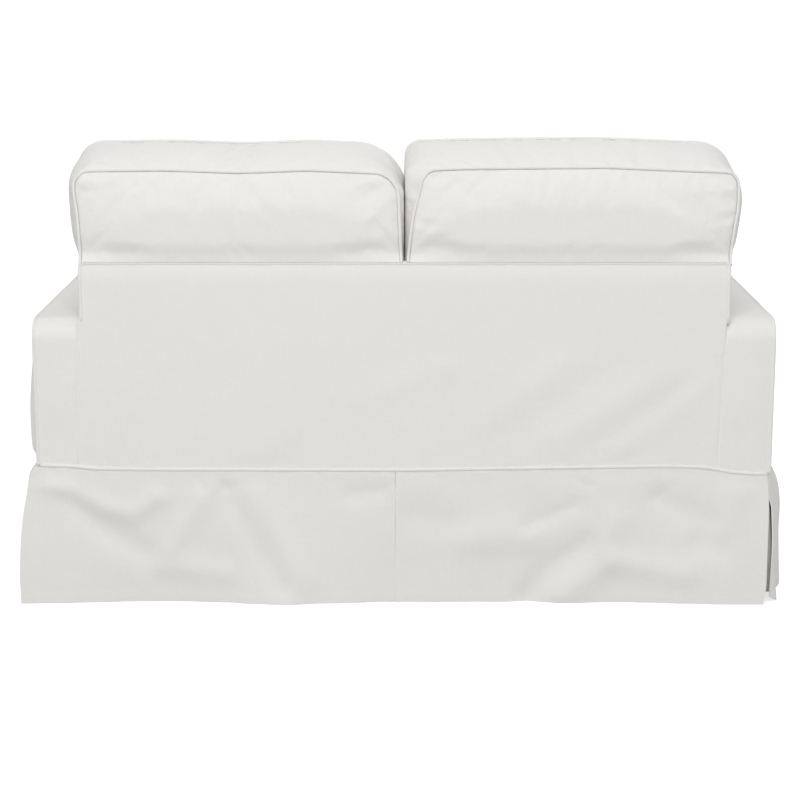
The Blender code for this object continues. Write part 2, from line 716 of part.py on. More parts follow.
def make_underlay(side, end):
    """Cloth behind a corner slit, folded round the corner of the sofa."""
    name = "pleat_underlay_" + ("back" if end > 0 else "front") + ("_left" if side > 0 else "_right")
    wall_y = HALF_DEPTH - CLOTH - GAP
    inset_y = wall_y if end > 0 else UNDERLAY_LEG - wall_y
    wall_x = HALF_WIDTH - side_inset(side, inset_y) - CLOTH - GAP
    corners = ((wall_x - UNDERLAY_LEG, wall_y), (wall_x, wall_y), (wall_x, wall_y - UNDERLAY_LEG))
    route = rounded_route(corners, UNDERLAY_CORNER, 3)
    if end > 0:
        welt = min(rear_welt(side * (wall_x - UNDERLAY_LEG)), rear_welt(side * wall_x))
        welt = min(welt, side_welt(side, wall_y - UNDERLAY_LEG))
    else:
        welt = min(WELT_FRONT, side_welt(side, -wall_y + UNDERLAY_LEG))
    top = welt - SEAT_GAP
    centre = Vector((wall_x - UNDERLAY_CORNER, wall_y - UNDERLAY_CORNER))
    columns, inward = [], []
    for i, point in enumerate(route):
        spoke = (centre - point).normalized()
        if i == 0:
            spoke = Vector((0, -1))
        if i == len(route) - 1:
            spoke = Vector((-1, 0))
        column = []
        for step in range(4):
            drop = step / 3
            place = point + spoke * UNDERLAY_LEAN * drop
            column.append((side * place.x, end * place.y, mix(top, UNDERLAY_HEM, drop)))
        columns.append(column)
        inward.append(Vector((side * spoke.x, end * spoke.y, 0)))
    return add_sheet(name, columns, inward)


# ---------------------------------------------------------------- piping of the body


def make_skirt_welt():
    path = [(knot.x, MID_Y, knot.height) for knot in REAR_WELT]
    turns = ((1, 1, 90, 0), (1, -1, 0, -90), (-1, -1, -90, -180), (-1, 1, 180, 90))
    for side, end, start, finish in turns:
        for i in range(4):
            if (side, end, i) == (1, 1, 0) or (side, end, i) == (-1, 1, 3):
                continue
            angle = math.radians(mix(start, finish, i / 3))
            corner_x = MID_X - side_inset(side, end * MID_Y) - WELT_CORNER
            x = side * corner_x + WELT_CORNER * math.cos(angle)
            y = end * (MID_Y - WELT_CORNER) + WELT_CORNER * math.sin(angle)
            path.append((x, y, side_welt(side, y)))
    return add_piping("skirt_welt", path, Vector((0, 0, 1)), closed=True)


def make_back_welt():
    foot = ARM_TOP + ARM_CROWN + 2 * GAP
    route = back_band_route(CLOTH / 2, foot)
    path = [(p.x, MID_Y, p.y) for p in route]
    return add_piping("back_welt", path, Vector((0, 1, 0)))


def make_arm_side_welt(side):
    radius = ARM_REAR_RADIUS - CLOTH / 2
    centre_y, centre_z = HALF_DEPTH - ARM_REAR_RADIUS, ARM_TOP - ARM_REAR_RADIUS
    foot = (REAR_WELT[-1] if side > 0 else REAR_WELT[0]).height + SEAT_GAP
    profile = [(MID_Y, foot)]
    for i in range(5):
        angle = math.pi / 2 * i / 4
        profile.append((centre_y + radius * math.cos(angle), centre_z + radius * math.sin(angle)))
    profile.append((-MID_Y + SEAT_GAP, MID_ARM_TOP))
    path = [(side * (MID_X - side_inset(side, y)), y, z) for y, z in profile]
    name = "arm_side_welt_" + ("left" if side > 0 else "right")
    return add_piping(name, path, Vector((1, 0, 0)))


def make_arm_front_welt(side):
    foot = WELT_FRONT + SEAT_GAP
    corners = ((MID_ARM_INNER, foot), (MID_ARM_INNER, MID_ARM_TOP), (MID_X, MID_ARM_TOP), (MID_X, foot))
    route = rounded_route(corners, 0.010, 3)
    path = [(side * p.x, -MID_Y, p.y) for p in route]
    name = "arm_front_welt_" + ("left" if side > 0 else "right")
    return add_piping(name, path, Vector((0, 1, 0)))


# ---------------------------------------------------------------- cushions

# place(a, b, depth, out) puts a point of a boxed cushion in the room: a and b run
# -1 to 1 over its outline, depth 0 to 1 from one seam to the other, and out is how
# far the point is pushed off the outline.


def outline_grid(half_a, half_b, corner, counts, keep_b):
    """Grid over a rectangle with round corners; keep_b are rows that it must have."""
    def lines(half, count, keep):
        return [-half] + stations(corner - half, half - corner, count, keep) + [half]
    across, up = lines(half_a, counts[0], ()), lines(half_b, counts[1], keep_b)
    pull = corner * (1.0 - math.sqrt(0.5))
    grid = []
    for b in up:
        row = []
        for a in across:
            at_corner = abs(a) == half_a and abs(b) == half_b
            row.append((a - math.copysign(pull, a), b - math.copysign(pull, b)) if at_corner else (a, b))
        grid.append(row)
    return grid


def grid_rim(count_a, count_b):
    """Row and column of each outline point, in order round the grid."""
    rim = [(0, i) for i in range(count_a + 1)]
    rim += [(j, count_a) for j in range(1, count_b + 1)]
    rim += [(count_b, i) for i in range(count_a - 1, -1, -1)]
    rim += [(j, 0) for j in range(count_b - 1, 0, -1)]
    return rim


def outward(a, b, half_a, half_b, corner):
    """Unit direction off the outline at one of its points."""
    spoke = Vector((0.0, 0.0))
    if abs(a) > half_a - corner * 0.98:
        spoke.x = math.copysign(1.0, a)
    if abs(b) > half_b - corner * 0.98:
        spoke.y = math.copysign(1.0, b)
    return spoke.normalized()


def make_boxed_cushion(name, place, size, crowns, bulge, welts, counts=(7, 6), keep_b=()):
    """A filled cushion: two crowned faces, a bulging boxing and a piping in each seam.

    size is (half width, half length, thickness, corner radius); crowns are the
    swell of the two faces; welts names the pipings of the first and second seam."""
    half_a, half_b, thick, corner = size
    grid = outline_grid(half_a, half_b, corner, counts, keep_b)
    count_a, count_b = len(grid[0]) - 1, len(grid) - 1
    rim = grid_rim(count_a, count_b)
    vertices, faces = [], []

    def face_grid(depth, lift, turned):
        start = len(vertices)
        for row in grid:
            for a, b in row:
                edge_a = clamp01(1.0 - (a / half_a) ** 2)
                edge_b = clamp01(1.0 - (b / half_b) ** 2)
                swell = lift * (edge_a * edge_b) ** 0.6
                pinch = SEAM_CHAMFER
                inner_a = a * (half_a - pinch) / half_a
                inner_b = b * (half_b - pinch) / half_b
                vertices.append(place(inner_a, inner_b, depth * thick + (swell if turned else -swell)))
        for j in range(count_b):
            for i in range(count_a):
                k = start + j * (count_a + 1) + i
                quad = (k, k + 1, k + count_a + 2, k + count_a + 1)
                faces.append(quad if turned else tuple(reversed(quad)))
        return [start + j * (count_a + 1) + i for j, i in rim]

    first = face_grid(0.0, crowns[0], False)
    rings = [first]
    for depth, full in ((SEAM_CHAMFER, 0), (thick * 0.3, 1), (thick * 0.7, 1), (thick - SEAM_CHAMFER, 0)):
        start = len(vertices)
        swell = bulge * full
        for j, i in rim:
            a, b = grid[j][i]
            off = outward(a, b, half_a, half_b, corner)
            vertices.append(place(a + off.x * swell, b + off.y * swell, depth))
        rings.append([start + k for k in range(len(rim))])
    rings.append(face_grid(1.0, crowns[1], True))
    for low, high in zip(rings, rings[1:]):
        for k in range(len(rim)):
            n = (k + 1) % len(rim)
            faces.append((low[k], low[n], high[n], high[k]))
    add_solid(name, vertices, faces)
    for welt, depth in zip(welts, (0.0, thick)):
        path = [place(grid[j][i][0], grid[j][i][1], depth) for j, i in rim]
        normal = Vector(place(0, 0, thick)) - Vector(place(0, 0, 0))
        add_piping(name + "_" + welt, path, normal.normalized(), closed=True)


def back_cushion_place(cushion):
    """Placing rule of a back cushion: leaning, squeezed by the arm, slumped on the back."""
    lean = math.atan(BACK_RAKE)
    rise, rear_shift = math.cos(lean), math.sin(lean)
    top = max(knot.height for knot in cushion.top)
    half_b = (top - BACK_CUSHION_FOOT) / rise / 2
    foot_y = inside_back_y(BACK_CUSHION_FOOT) - 0.010
    nominal = (cushion.outer_rear[-1].x - cushion.inner_rear[0].x) / 2
    last_step = SLUMP_FOOT + SLUMP_STEP

    def place(a, b, depth):
        along = b + half_b
        tilt = clamp01(along / (2 * half_b))
        forward = clamp01(depth / BACK_CUSHION_THICK)
        ahead = ease(1.7 * forward)
        level = BACK_CUSHION_FOOT + along * rise
        inner = mix(along_knots(cushion.inner_rear, level), along_knots(cushion.inner_front, level), ahead)
        outer = mix(along_knots(cushion.outer_rear, level), along_knots(cushion.outer_front, level), ahead)
        x = mix(inner, outer, (a / nominal + 1.0) / 2.0)
        if 0.0 < depth < SLUMP_CREASE_DEPTH:
            beside = max(abs(level - SLUMP_FOOT - SLUMP_STEP / 2) - SLUMP_STEP, 0.0)
            crease = SLUMP_CREASE * (1.0 - clamp01(beside / 0.010))
            x += math.copysign(crease, (inner + outer) / 2 - x)
        x = max(x, CUSHION_CLEAR)
        if level < CUSHION_ABOVE_ARM:
            x = min(x, ARM_INNER - CUSHION_CLEAR)
        sag = (along_knots(cushion.top, x) - top) * ease((level - last_step) / (top - last_step))
        z = level + sag + depth * rear_shift * ease(tilt)
        y = foot_y + along * rear_shift - depth * mix(1.0, rise, tilt)
        y += along_knots(BACK_SLUMP, level) * (1.0 - forward)
        on_back = level > BACK_SLUMP[0].height
        y = min(y, HALF_DEPTH - 0.010 if on_back else inside_back_y(min(z, BACK_TOP)) - 0.003)
        return Vector((cushion.side * x, y, max(z, SEAT_PRESSED + GAP)))

    step_heights = (ARM_TOP + 0.006, SLUMP_FOOT, last_step, 0.735, 0.790)
    step_rows = [(z - BACK_CUSHION_FOOT) / rise - half_b for z in step_heights]
    return place, nominal, half_b, step_rows


def make_back_cushion(cushion):
    place, nominal, half_b, step_rows = back_cushion_place(cushion)
    size = (nominal, half_b, BACK_CUSHION_THICK, CUSHION_CORNER)
    welts = ("welt_rear", "welt_front")
    make_boxed_cushion(cushion.name, place, size, (0.016, 0.034), 0.012, welts, keep_b=step_rows)


def make_seat_cushion(side):
    low = DECK_TOP + SEAT_GAP + 0.0002
    rear = inside_back_y(low) - 0.003 - PIPING_R
    front = -HALF_DEPTH - SEAT_FRONT_LIP
    inner = CUSHION_SPLIT + PIPING_R
    outer = ARM_INNER - 0.003 - PIPING_R
    half_a, half_b = (outer - inner) / 2, (rear - front) / 2

    def place(a, b, depth):
        x = inner + half_a + a
        y = front + half_b + b
        z = low + depth
        x = max(x, CUSHION_CLEAR)
        x = min(x, ARM_INNER - CUSHION_CLEAR)
        y = min(y, inside_back_y(z) - 0.003)
        pressed = SEAT_PRESSED + 0.03 * ease((SEAT_PRESSED_FROM - y) / 0.08)
        z = min(max(z, DECK_TOP + GAP), pressed)
        return Vector((side * x, y, z))

    name = "seat_cushion_" + ("left" if side > 0 else "right")
    size = (half_a, half_b, SEAT_TOP - low, 0.035)
    make_boxed_cushion(name, place, size, (0.006, 0.016), 0.004, ("welt_lower", "welt_upper"))


# ---------------------------------------------------------------- the whole cover


def main():
    for item in list(bpy.data.objects):
        bpy.data.objects.remove(item, do_unlink=True)
    make_outside_back()
    make_back_band()
    make_inside_back()
    make_seat_deck()
    make_front_skirt()
    make_skirt_welt()
    make_back_welt()
    for side in (1, -1):
        make_arm_band(side)
        make_arm_outer(side)
        make_arm_inner(side)
        make_arm_front(side)
        make_back_skirt(side)
        make_side_skirt(side)
        make_arm_side_welt(side)
        make_arm_front_welt(side)
        make_seat_cushion(side)
        for end in (1, -1):
            make_underlay(side, end)
    for cushion in BACK_CUSHIONS:
        make_back_cushion(cushion)


main()
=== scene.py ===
import math
from collections import namedtuple

import bpy
import numpy as np
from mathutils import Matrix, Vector


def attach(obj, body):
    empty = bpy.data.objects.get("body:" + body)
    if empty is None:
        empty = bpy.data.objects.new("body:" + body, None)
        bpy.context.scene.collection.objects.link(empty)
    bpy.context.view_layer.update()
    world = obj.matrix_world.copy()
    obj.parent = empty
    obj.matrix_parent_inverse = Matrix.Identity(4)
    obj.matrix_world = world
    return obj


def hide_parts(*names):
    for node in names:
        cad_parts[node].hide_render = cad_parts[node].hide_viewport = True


# Looks of a fitted two-seat sofa slipcover in white cotton duck, with its boxed back
# and seat cushions.  The sofa faces -Y, +X is its left side, the floor is Z = 0 and
# lengths are in metres.  A side is 1 for the left and -1 for the right; an end is 1 for
# the rear and -1 for the front.

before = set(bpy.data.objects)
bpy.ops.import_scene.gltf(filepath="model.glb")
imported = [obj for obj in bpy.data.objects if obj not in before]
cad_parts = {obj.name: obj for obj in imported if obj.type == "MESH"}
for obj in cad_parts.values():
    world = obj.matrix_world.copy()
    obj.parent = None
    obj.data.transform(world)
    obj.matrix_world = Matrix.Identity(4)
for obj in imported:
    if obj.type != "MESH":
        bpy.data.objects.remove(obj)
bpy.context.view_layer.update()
SIDES = {1: "left", -1: "right"}
ENDS = {1: "back", -1: "front"}

# ---------------------------------------------------------------- driving sizes
CLOTH = 0.0025            # thickness of the sewn cloth
GAP = 0.0003
PIPING_R = 0.004
PIPING_SIDES = 12
TUCK = 0.0030             # a panel's edge runs in under its piping to here
SEAM_DIP = 0.0016         # a plain seam draws the cloth in by this much
SEAM_DIP_WIDTH = 0.005

HALF_WIDTH = 0.730
HALF_DEPTH = 0.465
ARM_TOP = 0.577
ARM_INNER = 0.615
ARM_REAR_RADIUS = 0.040
ARM_FRONT_RADIUS = 0.010
ARM_CROWN = 0.004
ARM_SWELL = 0.008         # of its outer panel
ARM_FRONT_SWELL = 0.004
ARM_BELLY = {1: 0.013, -1: 0.003}   # the arm's outer side hangs out near the rear
ARM_BELLY_AT = 0.395
ARM_BELLY_REACH = 0.075
ARM_TURNED_IN = 0.0012    # the arm band's inner edge turns in by this much
REAR_INSET = {1: 0.003, -1: 0.005}  # the cover's sides draw in at the rear corners

BACK_HALF = 0.6325
BACK_TOP = 0.690
BACK_TOP_DEPTH = 0.070
BACK_RAKE = 0.2145
BACK_CORNER = 0.010
BACK_TOP_ROLL = 0.005     # the outside back rolls forward under its top piping
BACK_TOP_ROLL_DEPTH = 0.032

DECK_TOP = 0.315
DECK_NOSE = 0.014

WELT_FRONT = 0.279
WELT_CORNER = 0.012
WELT_SUNK = 0.0010        # along the back's top the welt lies this much deeper in its seam
BACK_WELT_TUCK = ((0.0030, -0.0140, -0.0110), (0.0010, -0.0060, -0.0085), (0.0, -0.0015, -0.0045))

UNDERLAY_LEG = 0.050
UNDERLAY_CORNER = 0.012
UNDERLAY_LEAN = 0.006
UNDERLAY_HEM = 0.008

SEAT_TOP = 0.485
SEAT_FRONT_LIP = 0.006
CUSHION_SPLIT = 0.006
CUSHION_CLEAR = 0.0005
CUSHION_REST = 0.003      # between a cushion and the inside back, and a seat cushion's piping and the arm
BACK_CUSHION_THICK = 0.185
SEAT_PRESSED = 0.491
SEAT_PRESSED_FROM = 0.135
BACK_CUSHION_FOOT = SEAT_PRESSED + PIPING_R + 0.0005
BACK_CUSHION_OFF = 0.010  # its rear seam's foot stands this far off the inside back
ARM_HOLD = 0.012          # the arms hold it in up to this far over their tops

MID_X = HALF_WIDTH - CLOTH / 2
MID_Y = HALF_DEPTH - CLOTH / 2
MID_ARM_TOP = ARM_TOP - CLOTH / 2
MID_ARM_INNER = ARM_INNER + CLOTH / 2
ARM_TURN_Y = HALF_DEPTH - ARM_REAR_RADIUS
ARM_TURN_Z = ARM_TOP - ARM_REAR_RADIUS

PITCH = 0.006             # spacing of a panel's points away from its seams
EDGE_STEPS = (0.0, 0.0012, 0.0026, 0.0045, 0.0070, 0.0100, 0.0140, 0.0190, 0.0250)


def table(kind, *rows):
    return tuple(kind(*row) for row in rows)


WeltKnot = namedtuple("WeltKnot", "x height")
REAR_WELT = table(
    WeltKnot,
    (-(MID_X - REAR_INSET[-1] - WELT_CORNER), 0.2690), (-0.656, 0.2713), (-0.596, 0.2826),
    (-0.507, 0.2846), (0.000, 0.2765), (0.505, 0.2775), (0.620, 0.2790), (0.659, 0.2840),
    (MID_X - REAR_INSET[1] - WELT_CORNER, 0.2856),
)

BackSeam = namedtuple("BackSeam", "upper lower")
BACK_SEAMS = {1: BackSeam(0.6400, 0.6490), -1: BackSeam(0.6295, 0.6200)}
CENTRE_SEAM = 0.018

# The free ends of the back skirt, at the slits.
EdgeKnot = namedtuple("EdgeKnot", "height x")
SKIRT_ENDS = {
    1: table(
        EdgeKnot,
        (0.286, 0.7285), (0.272, 0.7450), (0.256, 0.7470), (0.229, 0.7510), (0.184, 0.7610),
        (0.134, 0.7670), (0.059, 0.7720), (0.000, 0.7705),
    ),
    -1: table(
        EdgeKnot,
        (0.290, 0.7172), (0.240, 0.7230), (0.200, 0.7262), (0.030, 0.7262), (0.000, 0.7200),
    ),
}

HEM_TURN = 0.022          # depth of the turned hem
HEM_FLARE = 1.3           # how a hanging panel's flare grows towards its hem
SKIRT_FRONT_SPREAD = 0.012  # the front skirt is this much wider at its hem
HemKnot = namedtuple("HemKnot", "along out")
HEM_BACK = table(
    HemKnot,
    (-0.73, 0.008), (-0.64, 0.009), (-0.56, 0.003), (-0.49, -0.004), (-0.43, -0.009), (-0.34, -0.004),
    (-0.25, -0.009), (0.03, -0.009), (0.15, 0.003), (0.24, 0.015), (0.31, 0.006), (0.36, -0.004),
    (0.46, -0.011), (0.55, -0.009), (0.62, -0.003), (0.70, 0.003), (0.78, 0.006),
)
HEM_FRONT = table(
    HemKnot,
    (-0.73, 0.014), (-0.47, 0.004), (-0.18, 0.017), (0.08, 0.006), (0.38, 0.019), (0.73, 0.012),
)

# The side skirts puff out under their piping: how far they stand off the wall at four
# heights, along the wall.
Swing = namedtuple("Swing", "along high middle low hem")
SWING_HEIGHTS = (0.249, 0.190, 0.110, 0.000)
SKIRT_SWING = {
    1: table(
        Swing,
        (-0.460, 0.006, 0.012, 0.018, 0.026), (-0.220, 0.014, 0.026, 0.034, 0.040),
        (0.020, 0.012, 0.022, 0.028, 0.032), (0.200, 0.022, 0.034, 0.040, 0.044),
        (0.350, 0.034, 0.042, 0.046, 0.046), (0.420, 0.014, 0.026, 0.036, 0.040),
        (0.462, 0.003, 0.014, 0.028, 0.034),
    ),
    -1: table(
        Swing,
        (-0.460, 0.006, 0.012, 0.018, 0.024), (-0.200, 0.014, 0.026, 0.034, 0.040),
        (0.050, 0.010, 0.020, 0.028, 0.034), (0.200, 0.020, 0.036, 0.042, 0.046),
        (0.320, 0.029, 0.048, 0.049, 0.053), (0.400, 0.008, 0.014, 0.018, 0.024),
        (0.440, 0.006, 0.014, 0.018, 0.0285), (0.462, 0.003, 0.009, 0.013, 0.011),
    ),
}

# The right rear slit: the side skirt turns in towards the back's and its hem is cut up.
# The underlay behind it hangs outward, by share of its drop, and ends higher.
SLIT_TURN = 0.0055
SLIT_HEM_UP = 0.012
SLIT_UNDERLAY_OUT = ((0.0, 0.0), (0.3, 0.0128), (0.6, 0.0210), (1.0, 0.0275))
SLIT_UNDERLAY_BACK = 0.5   # and forward by this share of that
SLIT_UNDERLAY_UP = 0.009

# Folds of the hanging cloth, each a ridge or, below zero, a hollow along a path of
# (across, height) points.
Fold = namedtuple("Fold", "path half_width height")
BACK_FOLDS = table(
    Fold,
    (((0.310, 0.300), (0.215, 0.360)), 0.033, 0.0017), (((0.095, 0.415), (-0.080, 0.480)), 0.037, 0.0022),
    (((-0.160, 0.375), (-0.310, 0.490)), 0.040, 0.0028),
    (((-0.310, 0.340), (-0.510, 0.470)), 0.040, 0.0028),
    (((-0.410, 0.305), (-0.610, 0.460)), 0.035, 0.0022),
    (((-0.240, 0.370), (-0.420, 0.490)), 0.037, -0.0017),
    (((-0.380, 0.320), (-0.560, 0.450)), 0.029, -0.0017),
)
CUSHION_CREASES = {
    1: table(
        Fold,
        (((0.325, 0.870), (0.306, 0.835), (0.262, 0.783)), 0.015, -0.0028),
        (((0.300, 0.862), (0.276, 0.826), (0.226, 0.780)), 0.016, 0.0019),
        (((0.243, 0.858), (0.220, 0.822)), 0.011, -0.0017),
        (((0.046, 0.852), (0.110, 0.838)), 0.011, 0.0031),
        (((0.040, 0.838), (0.094, 0.812)), 0.011, -0.0030),
        (((0.028, 0.815), (0.075, 0.772)), 0.013, 0.0025),
        (((0.640, 0.850), (0.600, 0.846), (0.565, 0.852)), 0.010, 0.0026),
        (((0.640, 0.832), (0.605, 0.828)), 0.009, -0.0022),
        (((0.560, 0.715), (0.500, 0.735), (0.450, 0.760)), 0.018, 0.0019),
        (((0.470, 0.840), (0.380, 0.780), (0.330, 0.735)), 0.025, -0.0016),
    ),
    -1: table(
        Fold,
        (((-0.100, 0.850), (-0.112, 0.836), (-0.135, 0.815)), 0.014, -0.0028),
        (((-0.175, 0.850), (-0.190, 0.815), (-0.225, 0.770)), 0.016, -0.0022),
        (((-0.205, 0.850), (-0.222, 0.815), (-0.252, 0.780)), 0.016, 0.0016),
        (((-0.285, 0.855), (-0.325, 0.795)), 0.014, -0.0017),
        (((-0.636, 0.830), (-0.590, 0.842)), 0.010, 0.0026),
        (((-0.634, 0.812), (-0.585, 0.818)), 0.010, -0.0025),
        (((-0.450, 0.862), (-0.500, 0.820), (-0.560, 0.790)), 0.023, -0.0019),
        (((-0.026, 0.782), (-0.082, 0.768)), 0.010, 0.0022),
        (((-0.026, 0.746), (-0.092, 0.756)), 0.010, 0.0021),
        (((-0.030, 0.722), (-0.100, 0.748)), 0.011, -0.0021),
    ),
}
SKIRT_FOLDS = table(
    Fold,
    (((0.700, 0.250), (0.600, 0.199), (0.540, 0.187), (0.492, 0.220)), 0.028, 0.0075),
    (((0.655, 0.205), (0.605, 0.155), (0.525, 0.105)), 0.036, -0.0085),
    (((0.468, 0.115), (0.398, 0.225)), 0.032, 0.0060), (((0.359, 0.232), (0.246, 0.036)), 0.032, -0.0055),
    (((0.300, 0.230), (0.200, 0.050)), 0.036, 0.0045), (((0.100, 0.225), (0.040, 0.235)), 0.030, -0.0050),
    (((0.480, 0.078), (0.360, 0.062)), 0.032, 0.0055), (((0.412, 0.268), (0.402, 0.235)), 0.010, -0.0035),
    (((0.392, 0.268), (0.380, 0.238)), 0.010, 0.0035), (((0.368, 0.268), (0.352, 0.240)), 0.010, -0.0035),
    (((-0.020, 0.180), (-0.110, 0.160)), 0.042, -0.0040),
    (((-0.130, 0.135), (-0.255, 0.140)), 0.045, 0.0075),
    (((-0.360, 0.120), (-0.300, 0.078), (-0.245, 0.012)), 0.032, -0.0080),
    (((-0.405, 0.085), (-0.365, 0.050), (-0.320, 0.020)), 0.034, 0.0070),
    (((-0.342, 0.205), (-0.245, 0.160)), 0.022, -0.0045),
    (((-0.340, 0.262), (-0.368, 0.245)), 0.011, -0.0040),
    (((-0.425, 0.170), (-0.400, 0.120)), 0.036, 0.0055),
    (((-0.430, 0.085), (-0.560, 0.062)), 0.036, 0.0075),
    (((-0.505, 0.218), (-0.615, 0.168)), 0.034, -0.0055),
    (((-0.560, 0.268), (-0.498, 0.215)), 0.016, -0.0014),
    (((-0.595, 0.128), (-0.668, 0.098)), 0.032, -0.0055),
    (((-0.660, 0.235), (-0.640, 0.160)), 0.030, 0.0040),
)

# Gathers beside a seam: how high they are, how far from it they reach and their spacing.
Gather = namedtuple("Gather", "height reach spacing", defaults=(0.014,))
GATHER_BACK_FOOT = Gather(0.0016, 0.016)
GATHER_FIRM = Gather(0.0014, 0.014)
GATHER_PLAIN = Gather(0.0012, 0.012)
GATHER_LIGHT = Gather(0.0010, 0.012)
GATHER_TOP = Gather(0.0010, 0.010)
GATHER_ARM_FRONT = Gather(0.0011, 0.010)
GATHER_HIDDEN = Gather(0.0008, 0.010)
GATHER_CENTRE = Gather(0.0012, 0.016)
GATHER_SKIRT = Gather(0.0022, 0.014, 0.016)
GATHER_SKIRT_FRONT = Gather(0.0020, 0.014, 0.016)

# Seams of each back cushion.  Its inner and outer sides by height, at the rear seam and
# from mid-depth forward, and its top by distance from the middle.  Corners are the
# radii of the (low inner, low outer, top inner, top outer) corners of each seam.
SideKnot = namedtuple("SideKnot", "height x")
TopKnot = namedtuple("TopKnot", "x height")
BackCushion = namedtuple("BackCushion", (
    "name side inner_rear inner_front outer_rear outer_front top rear_corners front_corners seed"))
BACK_CUSHIONS = (
    BackCushion(
        "back_cushion_left", 1,
        table(SideKnot, (0.49, 0.006), (0.688, 0.006), (0.754, 0.009), (0.811, 0.011), (0.870, 0.013)),
        table(SideKnot, (0.49, 0.001), (0.800, 0.001), (0.860, 0.005), (0.900, 0.010)),
        table(SideKnot, (0.49, 0.606), (0.570, 0.606), (0.670, 0.630), (0.778, 0.6335), (0.834, 0.642),
              (0.870, 0.642)),
        table(SideKnot, (0.49, 0.606), (0.580, 0.606), (0.670, 0.648), (0.730, 0.654), (0.830, 0.662),
              (0.900, 0.660)),
        table(TopKnot, (0.00, 0.8610), (0.076, 0.8640), (0.188, 0.8690), (0.320, 0.8640), (0.460, 0.8690),
              (0.642, 0.8670)),
        (0.045, 0.045, 0.046, 0.034), (0.045, 0.045, 0.088, 0.054), 11,
    ),
    BackCushion(
        "back_cushion_right", -1,
        table(SideKnot, (0.49, 0.006), (0.688, 0.006), (0.748, 0.012), (0.797, 0.019), (0.832, 0.029),
              (0.870, 0.037)),
        table(SideKnot, (0.49, 0.001), (0.800, 0.001), (0.860, 0.004), (0.900, 0.009)),
        table(SideKnot, (0.49, 0.606), (0.570, 0.606), (0.670, 0.632), (0.752, 0.638), (0.803, 0.647),
              (0.870, 0.647)),
        table(SideKnot, (0.49, 0.606), (0.580, 0.606), (0.670, 0.644), (0.750, 0.656), (0.800, 0.663),
              (0.900, 0.662)),
        table(TopKnot, (0.040, 0.8690), (0.1245, 0.8720), (0.390, 0.8745), (0.5435, 0.8680), (0.647, 0.8640)),
        (0.045, 0.045, 0.028, 0.026), (0.045, 0.045, 0.026, 0.070), 23,
    ),
)
SIDE_SWELL = {1: 0.010, -1: 0.0015}   # how far the outer side of the case swells
# A back cushion slumps rearward over the back's top: how far, by height.
SlumpKnot = namedtuple("SlumpKnot", "height out")
SLUMP_FOOT = BACK_TOP + 0.0025
SLUMP_FOLD = -0.0010      # the folded edge hangs this far past that foot, over the piping
SLUMP_ROWS = 0.0006       # the rows of points on both sides of it
BACK_SLUMP = table(
    SlumpKnot,
    (SLUMP_FOOT, 0.000), (SLUMP_FOOT + 0.0004, 0.0775), (0.704, 0.064), (0.718, 0.060), (0.735, 0.060),
    (0.755, 0.056), (0.790, 0.044), (0.830, 0.030), (0.867, 0.017), (0.920, 0.015),
)

# How far the slumped cushion reaches behind the outside back, at its foot and a little up.
SLUMP_REACH = (-0.0024, 0.007)
SLUMP_REACH_RISE = 0.040

# How the cushions are filled: the swell of their lower or rear face, of the other one and
# of their boxing, then the pressure of the filling and the growth of the cloth.
BACK_CROWNS, BACK_BULGE, BACK_FILL = (0.010, 0.024), 0.002, (3.8, 0.020)
SEAT_CROWNS, SEAT_BULGE, SEAT_FILL = (0.003, 0.012), 0.004, (3.0, 0.02)
SEAT_CORNERS = ((0.035,) * 4,) * 2
CUSHION_PITCH = 0.0078
CUSHION_PIPING_R = 0.0030
SEAM_SINK = 0.0030        # the cloth beside a cushion's piping turns in by this much
FACE_PROUD = 0.0012       # the face lies this far out over the seam's middle
BOX_DITCH = 0.0054        # the boxing starts this far along from the seam's middle
BOX_FIRST_ROW = 0.009     # and its even rows this far
CREASE_HEIGHT = 0.0042    # of the short creases that run off a cushion's seams
CREASE_REACH = 0.018
CREASE_SPACING = 0.015
CROWN_RISE = 0.055
PRESSED_TOGETHER = 0.0015  # the pair of cushions touch where they are this near the middle
FOLD_CALM = 0.030         # no gathers this close to the fold over the back's top
FOLD_DEEP = 0.055         # the fold reaches this far into the cushion from its rear face
NO_FOLD = 9.0             # added to rows deeper than that, so that none counts as near it
SIM_FRAMES = 20
SIM_REACH = 0.030         # the furthest that filling moves the cloth
SHAKE = 0.0004            # unevenness of the cloth before it is filled

# ---------------------------------------------------------------- stage and camera
WORLD_LIGHT = 0.60
SEEN_BACKDROP = 1.05     # what the camera sees behind the floor
FLOOR_GLOW = 0.72
FLOOR_SHADE = (0.66, 0.66, 0.65)
StudioLight = namedtuple("StudioLight", "name place aim size power colour")
STUDIO_LIGHTS = table(
    StudioLight,
    ("soft_key", (0.4, 4.5, 3.9), (0.0, 0.2, 0.4), (3.6, 2.6), 107.0, (1.0, 0.992, 0.985)),
    ("overhead", (0.0, 0.6, 3.4), (0.0, 0.2, 0.5), (2.6, 2.2), 5.0, (1.0, 1.0, 1.0)),
    ("front_fill", (-1.5, -5.0, 3.0), (0.0, 0.0, 0.4), (3.0, 2.5), 30.0, (1.0, 1.0, 1.0)),
)
CAMERA_DISTANCE = 3.847   # behind the outside back
CAMERA_HEIGHT = 1.2595
CAMERA_PITCH = 12.33
CAMERA_YAW = -0.129
FOCAL_LENGTH = 90.0

# ---------------------------------------------------------------- number helpers


def clamp01(value):
    return np.clip(value, 0.0, 1.0)


def ease(value):
    value = clamp01(value)
    return value * value * (3.0 - 2.0 * value)


def mix(a, b, share):
    return a + (b - a) * share


def joined(*columns):
    return np.stack(np.broadcast_arrays(*columns), -1).astype(float)


def column(*parts):
    return np.concatenate(parts)[:, None]


def unit(vectors):
    return vectors / np.maximum(np.linalg.norm(vectors, axis=-1, keepdims=True), 1e-12)


